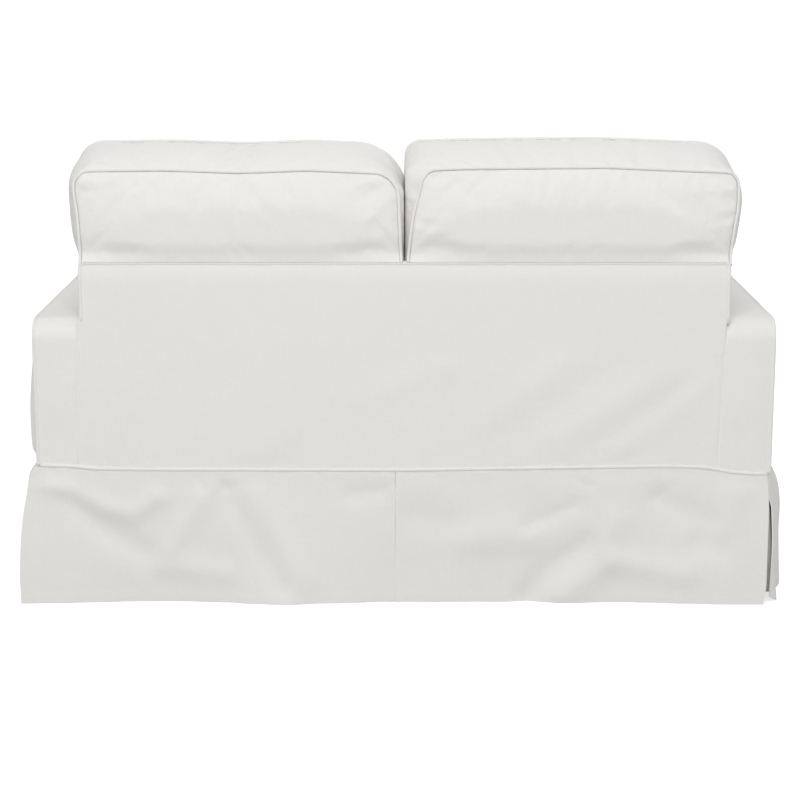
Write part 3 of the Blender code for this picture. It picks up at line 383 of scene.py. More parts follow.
def distances(points):
    """Distance of each point of a path from its start, along the path."""
    return np.concatenate(((0.0,), np.cumsum(np.linalg.norm(np.diff(points, axis=0), axis=1))))


def straight(knots, where):
    """Straight-line reading of a two-column table."""
    rows = np.array(sorted(tuple(k) for k in knots))
    return np.interp(where, rows[:, 0], rows[:, 1])


def soft(knots, where):
    """Smooth reading of a two-column table."""
    rows = np.array(sorted(tuple(k) for k in knots))
    where = np.clip(where, rows[0, 0], rows[-1, 0])
    low = np.clip(np.searchsorted(rows[:, 0], where) - 1, 0, len(rows) - 2)
    share = ease((where - rows[low, 0]) / (rows[low + 1, 0] - rows[low, 0]))
    return mix(rows[low, 1], rows[low + 1, 1], share)


def flowing(knots, where):
    """Reading of a rising two-column table along a curve without kinks."""
    x, v = np.array([tuple(k) for k in knots]).T
    where = np.clip(where, x[0], x[-1])
    slope = np.gradient(v)
    slope[1:-1] = (v[2:] - v[:-2]) / (x[2:] - x[:-2])
    slope[0], slope[-1] = (v[1] - v[0]) / (x[1] - x[0]), (v[-1] - v[-2]) / (x[-1] - x[-2])
    i = np.clip(np.searchsorted(x, where, side="right") - 1, 0, len(x) - 2)
    run, gain = x[i + 1] - x[i], v[i + 1] - v[i]
    t = (where - x[i]) / run
    bend = (slope[i] * run - gain) * (1.0 - t) - (slope[i + 1] * run - gain) * t
    return v[i] + gain * t + t * (1.0 - t) * bend


def round_reading(knots, where):
    """Reading of a two-column table with its corners worn round."""
    reach = 0.018
    return sum(straight(knots, where + reach * k) for k in (-1.0, -0.5, 0.0, 0.5, 1.0)) / 5.0


def lines(start, end, pitch=PITCH, fine_start=True, fine_end=True):
    """Places from start to end, closer together beside a seam."""
    near = [start + s for s in (EDGE_STEPS if fine_start else (0.0,))]
    far = [end - s for s in (EDGE_STEPS if fine_end else (0.0,))][::-1]
    count = max(1, int(round((far[0] - near[-1]) / pitch)))
    middle = np.linspace(near[-1], far[0], count + 1)[1:-1]
    return np.concatenate((near, middle, far))


def shares(length, pitch=PITCH, fine_start=True, fine_end=True):
    return lines(0.0, length, pitch, fine_start, fine_end) / length


def quarter_turn(steps):
    return np.radians(np.linspace(0, 90, steps + 1))


def arc(centre, radius, start, finish, steps):
    turn = np.radians(np.linspace(start, finish, steps + 1))
    return np.stack((centre[0] + radius * np.cos(turn), centre[1] + radius * np.sin(turn)), 1)


def cloudy(u, v, size_u, size_v, seed):
    """A smooth uneven field, -1 to 1, with lumps of the given sizes."""
    values = np.random.default_rng(seed).uniform(-1.0, 1.0, (64, 64))
    a, b = np.broadcast_arrays(np.asarray(u) / size_u + 17.3, np.asarray(v) / size_v + 9.1)
    i, j = np.floor(a).astype(int), np.floor(b).astype(int)
    fa, fb = ease(a - i), ease(b - j)
    low = mix(values[i % 64, j % 64], values[(i + 1) % 64, j % 64], fa)
    high = mix(values[i % 64, (j + 1) % 64], values[(i + 1) % 64, (j + 1) % 64], fa)
    return mix(low, high, fb)


def puckers(along, away, gather, seed):
    """Small gathers beside a seam, fading with the distance from it."""
    height, reach, spacing = gather
    wave = cloudy(along, away, spacing, reach * 2.5, seed)
    wave = wave + 0.6 * cloudy(along, away, spacing * 2.3, reach * 3.0, seed + 1)
    shown = 0.45 + 0.55 * cloudy(along, 0.0 * along, spacing * 7.0, 1.0, seed + 2)
    start = clamp01(away / (0.35 * reach))
    return height * wave * clamp01(shown) * start * np.exp(-away / reach)


def seam_dip(away):
    return -SEAM_DIP * (1.0 - clamp01(away / SEAM_DIP_WIDTH)) ** 2


def fold_relief(folds, along, height):
    total = 0.0 * along
    for fold in folds:
        best = np.full_like(total, 1e9)
        for a, b in zip(fold.path, fold.path[1:]):
            run = (b[0] - a[0], b[1] - a[1])
            past_a, past_b = along - a[0], height - a[1]
            share = clamp01((past_a * run[0] + past_b * run[1]) / (run[0] ** 2 + run[1] ** 2))
            best = np.minimum(best, np.hypot(past_a - run[0] * share, past_b - run[1] * share))
        total = total + fold.height * np.exp(-1.6 * (best / fold.half_width) ** 2)
    return total


def on_arc(dx, dz):
    """Where both distances run past a corner, and what brings a point there onto its arc."""
    both = (dx > 0.0) & (dz > 0.0)
    return both, np.where(both, np.maximum(dx, dz) / np.maximum(np.hypot(dx, dz), 1e-9), 1.0)


def round_corner(x, z, centre_x, centre_z):
    """Turns the corner beyond (centre_x, centre_z) on an arc; x is a distance."""
    dx, dz = np.maximum(x - centre_x, 0.0), np.maximum(z - centre_z, 0.0)
    both, scale = on_arc(dx, dz)
    return np.where(both, centre_x + dx * scale, x), np.where(both, centre_z + dz * scale, z)


# ---------------------------------------------------------------- seam lines


def rear_welt(x):
    return round_reading(REAR_WELT, x)


def rear_corner_welt(side):
    return (REAR_WELT[-1] if side > 0 else REAR_WELT[0]).height


def side_welt(side, y):
    share = clamp01((y + MID_Y - WELT_CORNER) / (2 * (MID_Y - WELT_CORNER)))
    return mix(WELT_FRONT, rear_corner_welt(side), share)


def inside_back_y(z):
    return HALF_DEPTH - BACK_TOP_DEPTH - BACK_RAKE * (BACK_TOP - z)


def side_inset(side, y):
    """How far the cover's side draws in: not at all in front, fully at the rear."""
    return REAR_INSET[side] * clamp01((y + MID_Y) / (2 * MID_Y))


def skirt_swing(side, y, z, top):
    """How far a side skirt stands off its wall; y and top are rows, z is a grid."""
    outs = [flowing([(row.along, row[k + 1]) for row in SKIRT_SWING[side]], y[0])
            for k in range(len(SWING_HEIGHTS))]
    columns = []
    for j in range(z.shape[1]):
        knots = [(height, out[j]) for height, out in zip(SWING_HEIGHTS, outs)][::-1] + [(top[0, j], 0.0)]
        columns.append(flowing(knots, z[:, j]))
    return np.stack(columns, 1)


def back_seam(side, z):
    seam = BACK_SEAMS[side]
    return side * mix(seam.lower, seam.upper, clamp01((z - WELT_FRONT) / (ARM_TOP - WELT_FRONT)))


def back_roll(drop):
    """How far forward the outside back has rolled, by distance under its top edge."""
    return BACK_TOP_ROLL * clamp01(1.0 - drop / BACK_TOP_ROLL_DEPTH) ** 2


# ---------------------------------------------------------------- shader groups


def new_group(name, inputs, outputs):
    """A node group with its input and output nodes."""
    group = bpy.data.node_groups.new(name, "ShaderNodeTree")
    for label, kind, value in inputs:
        socket = group.interface.new_socket(label, in_out="INPUT", socket_type=kind)
        if value is not None:
            socket.default_value = value
    for label in outputs:
        group.interface.new_socket(label, in_out="OUTPUT", socket_type="NodeSocketFloat")
    return group, node(group, "NodeGroupInput"), node(group, "NodeGroupOutput")


def node(tree, kind, **settings):
    made = tree.nodes.new(kind)
    for key, value in settings.items():
        setattr(made, key, value)
    return made


def set_inputs(made, values):
    for label, value in values.items():
        made.inputs[label].default_value = value


def math_node(tree, operation, *values):
    made = node(tree, "ShaderNodeMath", operation=operation)
    for socket, value in zip(made.inputs, values):
        if isinstance(value, (int, float)):
            socket.default_value = value
        else:
            tree.links.new(value, socket)
    return made.outputs[0]


def woven_cotton_group():
    """Plain weave with uneven yarns, from the cut cloth's own coordinates."""
    group, start, end = new_group(
        "Woven cotton",
        (("Cloth Position", "NodeSocketVector", None), ("Yarn Pitch", "NodeSocketFloat", 0.0011),
         ("Slub Length", "NodeSocketFloat", 0.060)),
        ("Weave Height", "Slub Height", "Yarn Shade"),
    )
    split = node(group, "ShaderNodeSeparateXYZ")
    group.links.new(start.outputs["Cloth Position"], split.inputs[0])
    u, v = split.outputs[0], split.outputs[1]
    turns = math_node(group, "DIVIDE", math.pi, start.outputs["Yarn Pitch"])
    wave_u = math_node(group, "SINE", math_node(group, "MULTIPLY", u, turns))
    wave_v = math_node(group, "SINE", math_node(group, "MULTIPLY", v, turns))
    over = math_node(group, "MULTIPLY", wave_u, wave_v)
    group.links.new(math_node(group, "MULTIPLY_ADD", over, 0.5, 0.5), end.inputs["Weave Height"])
    slubs = []
    for along, across in ((u, v), (v, u)):
        yarn = node(group, "ShaderNodeCombineXYZ")
        long_way = math_node(group, "DIVIDE", along, start.outputs["Slub Length"])
        yarns_wide = math_node(group, "MULTIPLY", start.outputs["Yarn Pitch"], 3.0)
        group.links.new(long_way, yarn.inputs[0])
        group.links.new(math_node(group, "DIVIDE", across, yarns_wide), yarn.inputs[1])
        noise = node(group, "ShaderNodeTexNoise", noise_dimensions="2D")
        set_inputs(noise, {"Scale": 1.0, "Detail": 2.0})
        group.links.new(yarn.outputs[0], noise.inputs["Vector"])
        slubs.append(noise.outputs[0])
    both = math_node(group, "MULTIPLY", math_node(group, "ADD", *slubs), 0.5)
    group.links.new(both, end.inputs["Slub Height"])
    group.links.new(both, end.inputs["Yarn Shade"])
    return group


def soft_handling_group():
    """Broad, faint clouds and small rumples of washed cotton, in the room's coordinates."""
    group, start, end = new_group(
        "Washed cotton handling",
        (("Place", "NodeSocketVector", None), ("Cloud Scale", "NodeSocketFloat", 5.0),
         ("Rumple Scale", "NodeSocketFloat", 38.0)),
        ("Cloud", "Rumple"),
    )
    for scale, target, detail in (("Cloud Scale", "Cloud", 2.0), ("Rumple Scale", "Rumple", 3.0)):
        noise = node(group, "ShaderNodeTexNoise")
        set_inputs(noise, {"Detail": detail})
        group.links.new(start.outputs["Place"], noise.inputs["Vector"])
        group.links.new(start.outputs[scale], noise.inputs["Scale"])
        group.links.new(noise.outputs[0], end.inputs[target])
    return group


WOVEN = woven_cotton_group()
HANDLING = soft_handling_group()
LIGHT, DARK = (0.888, 0.877, 0.851), (0.866, 0.854, 0.826)


def cotton(name, pitch, slub, weave_bump, rumple_bump, roughness):
    material = bpy.data.materials.new(name)
    material.use_nodes = True
    tree = material.node_tree
    shader = tree.nodes["Principled BSDF"]
    set_inputs(shader, {"Roughness": roughness, "Specular IOR Level": 0.25, "Sheen Weight": 0.12,
                        "Sheen Roughness": 0.6})
    cut = node(tree, "ShaderNodeAttribute", attribute_name="cut")
    place = node(tree, "ShaderNodeTexCoord")
    woven = node(tree, "ShaderNodeGroup", node_tree=WOVEN)
    set_inputs(woven, {"Yarn Pitch": pitch, "Slub Length": slub})
    tree.links.new(cut.outputs["Vector"], woven.inputs["Cloth Position"])
    handled = node(tree, "ShaderNodeGroup", node_tree=HANDLING)
    tree.links.new(place.outputs["Object"], handled.inputs["Place"])
    shade = math_node(tree, "ADD", math_node(tree, "MULTIPLY", woven.outputs["Yarn Shade"], 0.6),
                      math_node(tree, "MULTIPLY", handled.outputs["Cloud"], 0.4))
    ramp = node(tree, "ShaderNodeValToRGB")
    for stop, position, colour in zip(ramp.color_ramp.elements, (0.30, 0.70), (DARK, LIGHT)):
        stop.position, stop.color = position, (*colour, 1.0)
    tree.links.new(shade, ramp.inputs[0])
    tree.links.new(ramp.outputs[0], shader.inputs["Base Color"])
    height = math_node(tree, "MULTIPLY", woven.outputs["Weave Height"], weave_bump)
    for relief, strength in ((woven.outputs["Slub Height"], weave_bump * 0.8),
                             (handled.outputs["Rumple"], rumple_bump)):
        height = math_node(tree, "ADD", height, math_node(tree, "MULTIPLY", relief, strength))
    bump = node(tree, "ShaderNodeBump")
    set_inputs(bump, {"Distance": 1.0})
    tree.links.new(height, bump.inputs["Height"])
    tree.links.new(bump.outputs[0], shader.inputs["Normal"])
    return material


PANEL = cotton("White cotton duck", 0.0011, 0.060, 0.00012, 0.0010, 0.86)
PIPED = cotton("White cotton piping", 0.0010, 0.030, 0.00012, 0.0003, 0.84)
FILLED = cotton("White cushion cotton", 0.0011, 0.060, 0.00012, 0.0012, 0.86)

# ---------------------------------------------------------------- making pieces


def finish_piece(name, vertices, faces, cut, material, nodes):
    mesh = bpy.data.meshes.new(name)
    mesh.from_pydata(vertices.tolist(), [], faces)
    places = mesh.attributes.new("cut", "FLOAT_VECTOR", "POINT").data
    places.foreach_set("vector", cut.astype(np.float32).ravel())
    mesh.shade_smooth()
    mesh.set_sharp_from_angle(angle=math.radians(50))
    mesh.materials.append(material)
    piece = bpy.data.objects.new(name, mesh)
    bpy.context.scene.collection.objects.link(piece)
    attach(piece, "root")
    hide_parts(*nodes)
    return piece


def grid_faces(index):
    """Four-sided faces over a grid of vertex numbers."""
    corners = (index[:-1, :-1], index[:-1, 1:], index[1:, 1:], index[1:, :-1])
    return np.stack([corner.ravel() for corner in corners], 1)


def cut_lengths(points):
    """Place of each point in the cut cloth, measured along its rows and columns."""
    cut = np.zeros(points.shape)
    cut[:, 1:, 0] = np.cumsum(np.linalg.norm(np.diff(points, axis=1), axis=2), axis=1)
    cut[:, :, 0] -= cut[:, cut.shape[1] // 2, 0][:, None]
    cut[1:, :, 1] = np.cumsum(np.linalg.norm(np.diff(points, axis=0), axis=2), axis=0)
    return cut


def sheet_piece(name, points, facing):
    """A closed sheet of cloth over a grid of points on its outer face."""
    rows, width = points.shape[:2]
    normal = unit(np.cross(np.gradient(points, axis=1), np.gradient(points, axis=0)))
    flip = (normal * np.asarray(facing)).sum() < 0.0
    if flip:
        normal = -normal
    inner = points - normal * CLOTH
    cut = cut_lengths(points)
    vertices = np.concatenate((points.reshape(-1, 3), inner.reshape(-1, 3)))
    half = rows * width
    index = np.arange(half).reshape(rows, width)
    outer_faces = grid_faces(index)
    inner_faces = outer_faces[:, ::-1] + half
    rim = np.concatenate((index[0, :], index[1:, -1], index[-1, -2::-1], index[-2:0:-1, 0]))
    ahead = np.roll(rim, -1)
    rim_faces = np.stack((ahead, rim, rim + half, ahead + half), 1)
    faces = np.concatenate((outer_faces, inner_faces, rim_faces))
    if flip:
        faces = faces[:, ::-1]
    both = np.concatenate((cut.reshape(-1, 3), cut.reshape(-1, 3)))
    piece = finish_piece(name + "_cloth", vertices, faces.tolist(), both, PANEL, (name,))
    return piece


def even_path(points, pitch, closed):
    points = np.asarray(points, float)
    if closed:
        points = np.concatenate((points, points[:1]))
    run = distances(points)
    places = np.linspace(0.0, run[-1], int(round(run[-1] / pitch)) + 1)
    if closed:
        places = places[:-1]
    return np.stack([np.interp(places, run, points[:, k]) for k in range(3)], 1), places


def piping_piece(name, path, facing, seed, closed=False, pitch=0.006, radius=PIPING_R):
    """Round piping along a path, a little uneven as sewn."""
    points, along = even_path(path, pitch, closed)
    count, sides = len(points), PIPING_SIDES
    run = unit(np.roll(points, -1, 0) - np.roll(points, 1, 0) if closed else np.gradient(points, axis=0))
    across = unit(np.cross(run, facing))
    up = np.cross(across, run)
    angle = math.tau * np.arange(sides) / sides
    girth = radius * (1.0 + 0.05 * cloudy(along, 0.0 * along, 0.030, 1.0, seed))[:, None, None]
    ring = np.cos(angle)[None, :, None] * across[:, None, :] + np.sin(angle)[None, :, None] * up[:, None, :]
    vertices = (points[:, None, :] + ring * girth).reshape(-1, 3)
    faces = []
    for i in range(count if closed else count - 1):
        a, b = i * sides, ((i + 1) % count) * sides
        for k in range(sides):
            n = (k + 1) % sides
            faces.append((a + k, a + n, b + n, b + k))
    if not closed:
        faces.append(tuple(range(sides))[::-1])
        faces.append(tuple(range((count - 1) * sides, count * sides)))
    if np.cross(ring[0, 0], ring[0, 1]) @ run[0] < 0:
        faces = [face[::-1] for face in faces]
    # piping cloth is cut on the bias, so its weave runs aslant
    lengthwise, around = along[:, None], angle[None, :] * radius
    cut = joined(lengthwise + around, lengthwise - around, 0).reshape(-1, 3)
    return finish_piece(name + "_piping", vertices, faces, cut, PIPED, (name,))


# ---------------------------------------------------------------- body panels


def gathers(side, *seams):
    """Gathers beside several seams, each with its (along, away, gather, seed)."""
    return sum(puckers(along, away, gather, seed + side) for along, away, gather, seed in seams)


def make_outside_back():
    u = shares(1.27)[None, :]
    v = shares(0.40)[:, None]
    low_x = mix(back_seam(-1, WELT_FRONT), back_seam(1, WELT_FRONT), u)
    top = BACK_TOP - CLOTH / 2 - TUCK
    z = mix(rear_welt(low_x) + TUCK, top, v)
    piped_edge = BACK_HALF - CLOTH / 2 - TUCK
    above = ease((z - ARM_TOP - 0.002) / 0.007)
    right = mix(back_seam(-1, z), -piped_edge, above)
    left = mix(back_seam(1, z), piped_edge, above)
    x = mix(right, left, u)
    inset = np.minimum(u, 1.0 - u) * (left - right)
    drop = top - z
    rise = z - rear_welt(low_x) - TUCK
    fade = ease(inset / 0.05) * ease(rise / 0.04) * ease(drop / 0.05)
    relief = fade * (fold_relief(BACK_FOLDS, x, z) + 0.0008 * cloudy(x, z, 0.16, 0.12, 3))
    relief = relief + gathers(0, (x, rise, GATHER_BACK_FOOT, 31), (x, drop, GATHER_TOP, 35))
    relief = relief + gathers(0, (z, inset, GATHER_PLAIN, 37)) * ease(rise / 0.01)
    relief = relief - back_roll(drop) + seam_dip(inset) * (1.0 - above)
    corner = BACK_CORNER - CLOTH / 2 - TUCK
    distance, z = round_corner(np.abs(x), z, piped_edge - corner, top - corner)
    points = joined(np.copysign(distance, x), HALF_DEPTH + relief, z)
    sheet_piece("outside_back", points, (0, 1, 0))


def back_route(inset, foot):
    """Outline of the back from the left foot over its top to the right foot."""
    half, top, radius = BACK_HALF - inset, BACK_TOP - inset, BACK_CORNER - inset
    left = lines(foot, top - radius, 0.008, False, False)
    over = lines(-(half - radius), half - radius, 0.008, False, False)[::-1]
    return np.concatenate((
        joined(half, left)[:-1],
        arc((half - radius, top - radius), radius, 0, 90, 10),
        joined(over, top)[1:-1],
        arc((radius - half, top - radius), radius, 90, 180, 10),
        joined(-half, left[::-1])[1:],
    ))


def make_back_band():
    route = back_route(0.0, ARM_TOP + ARM_CROWN + GAP)
    rear = MID_Y - TUCK
    x, z = route[:, :1], route[:, 1:]
    front = inside_back_y(z) + CLOTH / 2
    y = mix(rear, front, shares(0.07, 0.005)[None, :])
    run = unit(np.gradient(route, axis=0))
    out_x, out_z = run[:, 1:], -run[:, :1]
    along = distances(route)[:, None]
    relief = gathers(0, (along, rear - y, GATHER_LIGHT, 41)) + 0.0012 * cloudy(along, y, 0.09, 0.06, 43)
    relief = relief + seam_dip(y - front)
    points = joined(x + out_x * relief, y, z + out_z * relief)
    sheet_piece("back_band", points, joined(out_x, 0, out_z))


def make_inside_back():
    u = shares(1.25, 0.010)[None, :]
    below_arms = lines(DECK_TOP + GAP, ARM_TOP + 0.0015, 0.010)
    above_arms = lines(ARM_TOP + 0.006, BACK_TOP - 0.0005, 0.008)
    z = np.concatenate((below_arms, above_arms))[:, None] + 0.0 * u
    narrow, wide = ARM_INNER - GAP, BACK_HALF - 0.0035
    half = np.where(z > ARM_TOP + 0.003, wide, narrow)
    half = half - (BACK_CORNER * 0.6) * ease((z - BACK_TOP + BACK_CORNER) / BACK_CORNER) ** 2
    points = joined(mix(half, -half, u), inside_back_y(z), z)
    sheet_piece("inside_back", points, (0, -1, 0))


def arm_gusset(side, out_y, out_z, inner_x):
    """Fills the corner between the arm's rear turn and the back's side."""
    to_square = 1.0 / np.maximum(out_y, out_z)
    y = ARM_TURN_Y + (ARM_REAR_RADIUS - CLOTH - GAP) * out_y * to_square
    z = ARM_TURN_Z + (ARM_REAR_RADIUS + ARM_CROWN) * out_z * to_square
    in_corner = ease((z - ARM_TOP + 0.010) / 0.010)
    return joined(mix(inner_x - side * ARM_TURNED_IN / 2, side * (BACK_HALF - GAP), in_corner), y, z)


def make_arm_band(side):
    name = "arm_band_" + SIDES[side]
    top_y = lines(-MID_Y + TUCK, ARM_TURN_Y, 0.007, True, False)
    turn = quarter_turn(16)[1:]
    # the rear drop runs down from the turn; its last row sits under the skirt's piping
    drop = shares(ARM_TURN_Z - 0.283, 0.005, False, True)[1:]
    out_y = column(0 * top_y, np.sin(turn), 1 + 0 * drop)
    out_z = column(1 + 0 * top_y, np.cos(turn), 0 * drop)
    y = column(top_y, ARM_TURN_Y + ARM_REAR_RADIUS * np.sin(turn), np.full_like(drop, HALF_DEPTH))
    z_base = column(np.full_like(top_y, ARM_TOP), ARM_TURN_Z + ARM_REAR_RADIUS * np.cos(turn), 0 * drop)
    fall = column(0 * top_y, 0 * turn, drop)
    share = shares(0.112, 0.006)[None, :]
    outer_x = side * (MID_X - side_inset(side, y) - TUCK)
    foot_x = mix(back_seam(side, WELT_FRONT), side * (MID_X - side_inset(side, MID_Y) - TUCK), share)
    z = np.where(fall > 0, mix(ARM_TURN_Z, rear_welt(foot_x) + TUCK, fall), z_base)
    inner_x = mix(side * ARM_INNER, back_seam(side, z), ease(3.0 * out_y))
    x = mix(inner_x, outer_x, share)
    along = np.where(fall > 0, -z, y)
    inner_away, outer_away = np.abs(x - inner_x), np.abs(x - outer_x)
    fading = ease((y + MID_Y) / 0.05) * np.where(out_y >= 1.0, ease((z - 0.33) / 0.1), 1.0)
    relief = ARM_CROWN * np.sin(math.pi * share) * fading
    off_seams = ease(np.minimum(inner_away, outer_away) / 0.02)
    relief = relief + 0.0012 * cloudy(along, x, 0.10, 0.05, 53 + side) * off_seams + seam_dip(inner_away)
    foot_away = np.where(fall > 0, z - rear_welt(x) - TUCK, 0.2)
    relief = relief + gathers(side, (along, outer_away, GATHER_PLAIN, 51), (x, foot_away, GATHER_FIRM, 65),
                              (along, inner_away, GATHER_LIGHT, 61))
    points = joined(x, y + out_y * relief, z + out_z * relief)
    facing = joined(0 * out_y, out_y, out_z)
    # the inner edge turns in, and round the rear turn it carries the gusset
    turned_in = points[:, :1] - ARM_TURNED_IN * facing
    turning = ((out_y > 0.0) & (out_z > 1e-6))[..., None]
    edge = np.where(turning, arm_gusset(side, out_y, out_z, inner_x[:, :1]), turned_in)
    sheet_piece(name, np.concatenate((edge, points), 1), facing)


def make_arm_outer(side):
    name = "arm_outer_" + SIDES[side]
    radius = ARM_REAR_RADIUS - CLOTH / 2 - TUCK
    y = lines(-MID_Y + TUCK, MID_Y - TUCK, 0.008)[:, None]
    v = shares(0.29, 0.007)[None, :]
    beyond = np.clip(y - ARM_TURN_Y, 0.0, radius)
    turned = ARM_TURN_Z + np.sqrt(np.maximum(radius ** 2 - beyond ** 2, 0.0))
    high = np.maximum(np.where(y > ARM_TURN_Y, turned, MID_ARM_TOP - TUCK), ARM_TURN_Z)
    low = side_welt(side, y) + TUCK
    z = mix(low, high, v)
    rise, drop, rear, front = z - low, high - z, MID_Y - TUCK - y + 0 * z, y + MID_Y - TUCK + 0 * z
    ends = ease(rear / 0.05 + 0.1) * ease((y + MID_Y) / 0.08)
    belly = ARM_BELLY[side] * np.exp(-(np.minimum(y - ARM_BELLY_AT, 0.0) / ARM_BELLY_REACH) ** 2)
    relief = ARM_SWELL * np.sin(math.pi * v) * ends
    relief = relief + belly * ease(rear / 0.022) * ease(rise / 0.03) * ease(drop / 0.24)
    relief = relief + gathers(side, (y, rise, GATHER_FIRM, 71), (y, drop, GATHER_PLAIN, 73),
                              (z, rear, GATHER_PLAIN, 75), (z, front, GATHER_PLAIN, 77))
    calm = ends * ease(rise / 0.03) * ease(drop / 0.03)
    relief = relief + 0.0016 * cloudy(y, z, 0.17, 0.12, 79 + side) * calm
    points = joined(side * (HALF_WIDTH - side_inset(side, y) + relief), y, z)
    sheet_piece(name, points, (side, 0, 0))


def make_arm_inner(side):
    name = "arm_inner_" + SIDES[side]
    z = lines(DECK_TOP + GAP, ARM_TOP - CLOTH - GAP, 0.009)[:, None]
    rear = inside_back_y(z) + CLOTH + 0.010
    y = mix(-MID_Y + TUCK, rear, shares(0.85, 0.010)[None, :])
    rise, drop = z - DECK_TOP, ARM_TOP - z
    relief = 0.0015 * cloudy(y, z, 0.15, 0.10, 83 + side) * ease(rise / 0.03) * ease(drop / 0.03)
    relief = np.minimum(relief + gathers(side, (y, drop, GATHER_HIDDEN, 85)), 0.0012)
    points = joined(side * (ARM_INNER - relief), y, z)
    sheet_piece(name, points, (-side, 0, 0))


def make_arm_front(side):
    name = "arm_front_" + SIDES[side]
    inner, outer = MID_ARM_INNER + TUCK, MID_X - TUCK
    low, top = WELT_FRONT + TUCK, MID_ARM_TOP - TUCK
    z = lines(low, top, 0.006)[:, None]
    x = lines(inner, outer, 0.006)[None, :]
    z, x = z + 0 * x, x + 0 * z
    across, up = (x - inner) / (outer - inner), (z - low) / (top - low)
    relief = ARM_FRONT_SWELL * np.sin(math.pi * up) * np.sin(math.pi * across)
    relief = relief + gathers(side, (z, np.minimum(x - inner, outer - x), GATHER_ARM_FRONT, 91),
                              (x, top - z, GATHER_ARM_FRONT, 93), (x, z - low, GATHER_ARM_FRONT, 95))
    radius = ARM_FRONT_RADIUS - TUCK
    centre = (inner + outer) / 2
    off, rounded_z = round_corner(np.abs(x - centre), z, (outer - inner) / 2 - radius, top - radius)
    points = joined(side * (centre + np.copysign(off, x - centre)), -HALF_DEPTH - relief, rounded_z)
    sheet_piece(name, points, (0, -1, 0))


def make_seat_deck():
    nose_y, nose_z = -HALF_DEPTH + DECK_NOSE, DECK_TOP - DECK_NOSE
    flat_y = lines(nose_y, inside_back_y(DECK_TOP), 0.026, False, True)[::-1]
    turn = quarter_turn(8)[1:]
    down = lines(WELT_FRONT + TUCK, nose_z, 0.004, False, False)[::-1][1:]
    y = column(flat_y, nose_y - DECK_NOSE * np.sin(turn), np.full_like(down, -HALF_DEPTH))
    z = column(np.full_like(flat_y, DECK_TOP), nose_z + DECK_NOSE * np.cos(turn), down)
    out_y = column(0 * flat_y, -np.sin(turn), -1 + 0 * down)
    out_z = column(1 + 0 * flat_y, np.cos(turn), 0 * down)
    half = mix(ARM_INNER + CLOTH, MID_ARM_INNER - TUCK, ease((-MID_Y + 0.03 - y) / 0.012))
    x = mix(half, -half, shares(1.22, 0.018)[None, :])
    relief = gathers(0, (x, np.abs(z - WELT_FRONT) + 0 * x, GATHER_HIDDEN, 97)) * (out_y < -0.9)
    points = joined(x, y + out_y * relief, z + out_z * relief)
    sheet_piece("seat_deck", points, joined(0, out_y, out_z))


# ---------------------------------------------------------------- skirt
SKIRT_DROP = shares(0.275)[:, None]    # rows of a skirt's panel, by share of its height


def hem_band(z):
    """Relief of the turned hem: a faint ridge with its stitched top."""
    stitched = np.exp(-((z - HEM_TURN) / 0.0022) ** 2)
    return 0.0004 * ease((HEM_TURN - z) / 0.003) - 0.0005 * stitched


def make_back_skirt(side):
    ends = SKIRT_ENDS[side]
    seam = CENTRE_SEAM + side * GAP / 2
    u = shares(0.73)[None, :]
    top = rear_welt(mix(seam, side * straight(ends, 0.29), u)) - TUCK
    z = top * (1.0 - SKIRT_DROP)
    end_x = side * round_reading(ends, z)
    x = mix(seam, end_x, u)
    fallen, seam_away, end_away = top - z, np.abs(x - seam), np.abs(end_x - x)
    relief = fold_relief(SKIRT_FOLDS, x, z) * ease(fallen / 0.045) * ease(np.abs(x - CENTRE_SEAM) / 0.03)
    relief = np.where(relief < 0.0, relief * ease((end_away - UNDERLAY_LEG) / 0.06), relief)
    relief = relief + 0.0016 * cloudy(x, z, 0.12, 0.09, 101 + side) * ease(fallen / 0.04)
    relief = relief + gathers(side, (x, fallen, GATHER_SKIRT, 103), (z, seam_away, GATHER_CENTRE, 105))
    relief = relief + seam_dip(seam_away) + hem_band(z)
    if side < 0:
        # the pressed seam allowance shows as a faint ridge beside the centre seam
        relief = relief + 0.0005 * ease((0.0065 - seam_away) / 0.002) * ease(seam_away / 0.002)
    points = joined(x, HALF_DEPTH + soft(HEM_BACK, x) * SKIRT_DROP ** HEM_FLARE + relief, z)
    sheet_piece("skirt_back_" + SIDES[side], points, (0, 1, 0))


def make_side_skirt(side):
    rear = HALF_DEPTH - CLOTH - GAP
    y = lines(-rear, rear, 0.007)[None, :]
    top = side_welt(side, y) - TUCK
    z = top * (1.0 - SKIRT_DROP)
    out = skirt_swing(side, y, z, top) - side_inset(side, y)
    if side < 0:
        out = out - SLIT_TURN * ease((y - rear + 0.016) / 0.016) * ease((z - 0.195) / 0.030)
        z = z + SLIT_HEM_UP * clamp01((y - rear + 0.020) / 0.020) * SKIRT_DROP
    fallen = top - z
    relief = 0.0035 * cloudy(y, z, 0.11, 0.20, 111 + side) * ease(fallen / 0.06) * ease((rear - y) / 0.08)
    relief = relief + gathers(side, (y, fallen, GATHER_SKIRT, 113)) + hem_band(z)
    points = joined(side * (HALF_WIDTH + out + relief), y, z)
    sheet_piece("skirt_side_" + SIDES[side], points, (side, 0, 0))


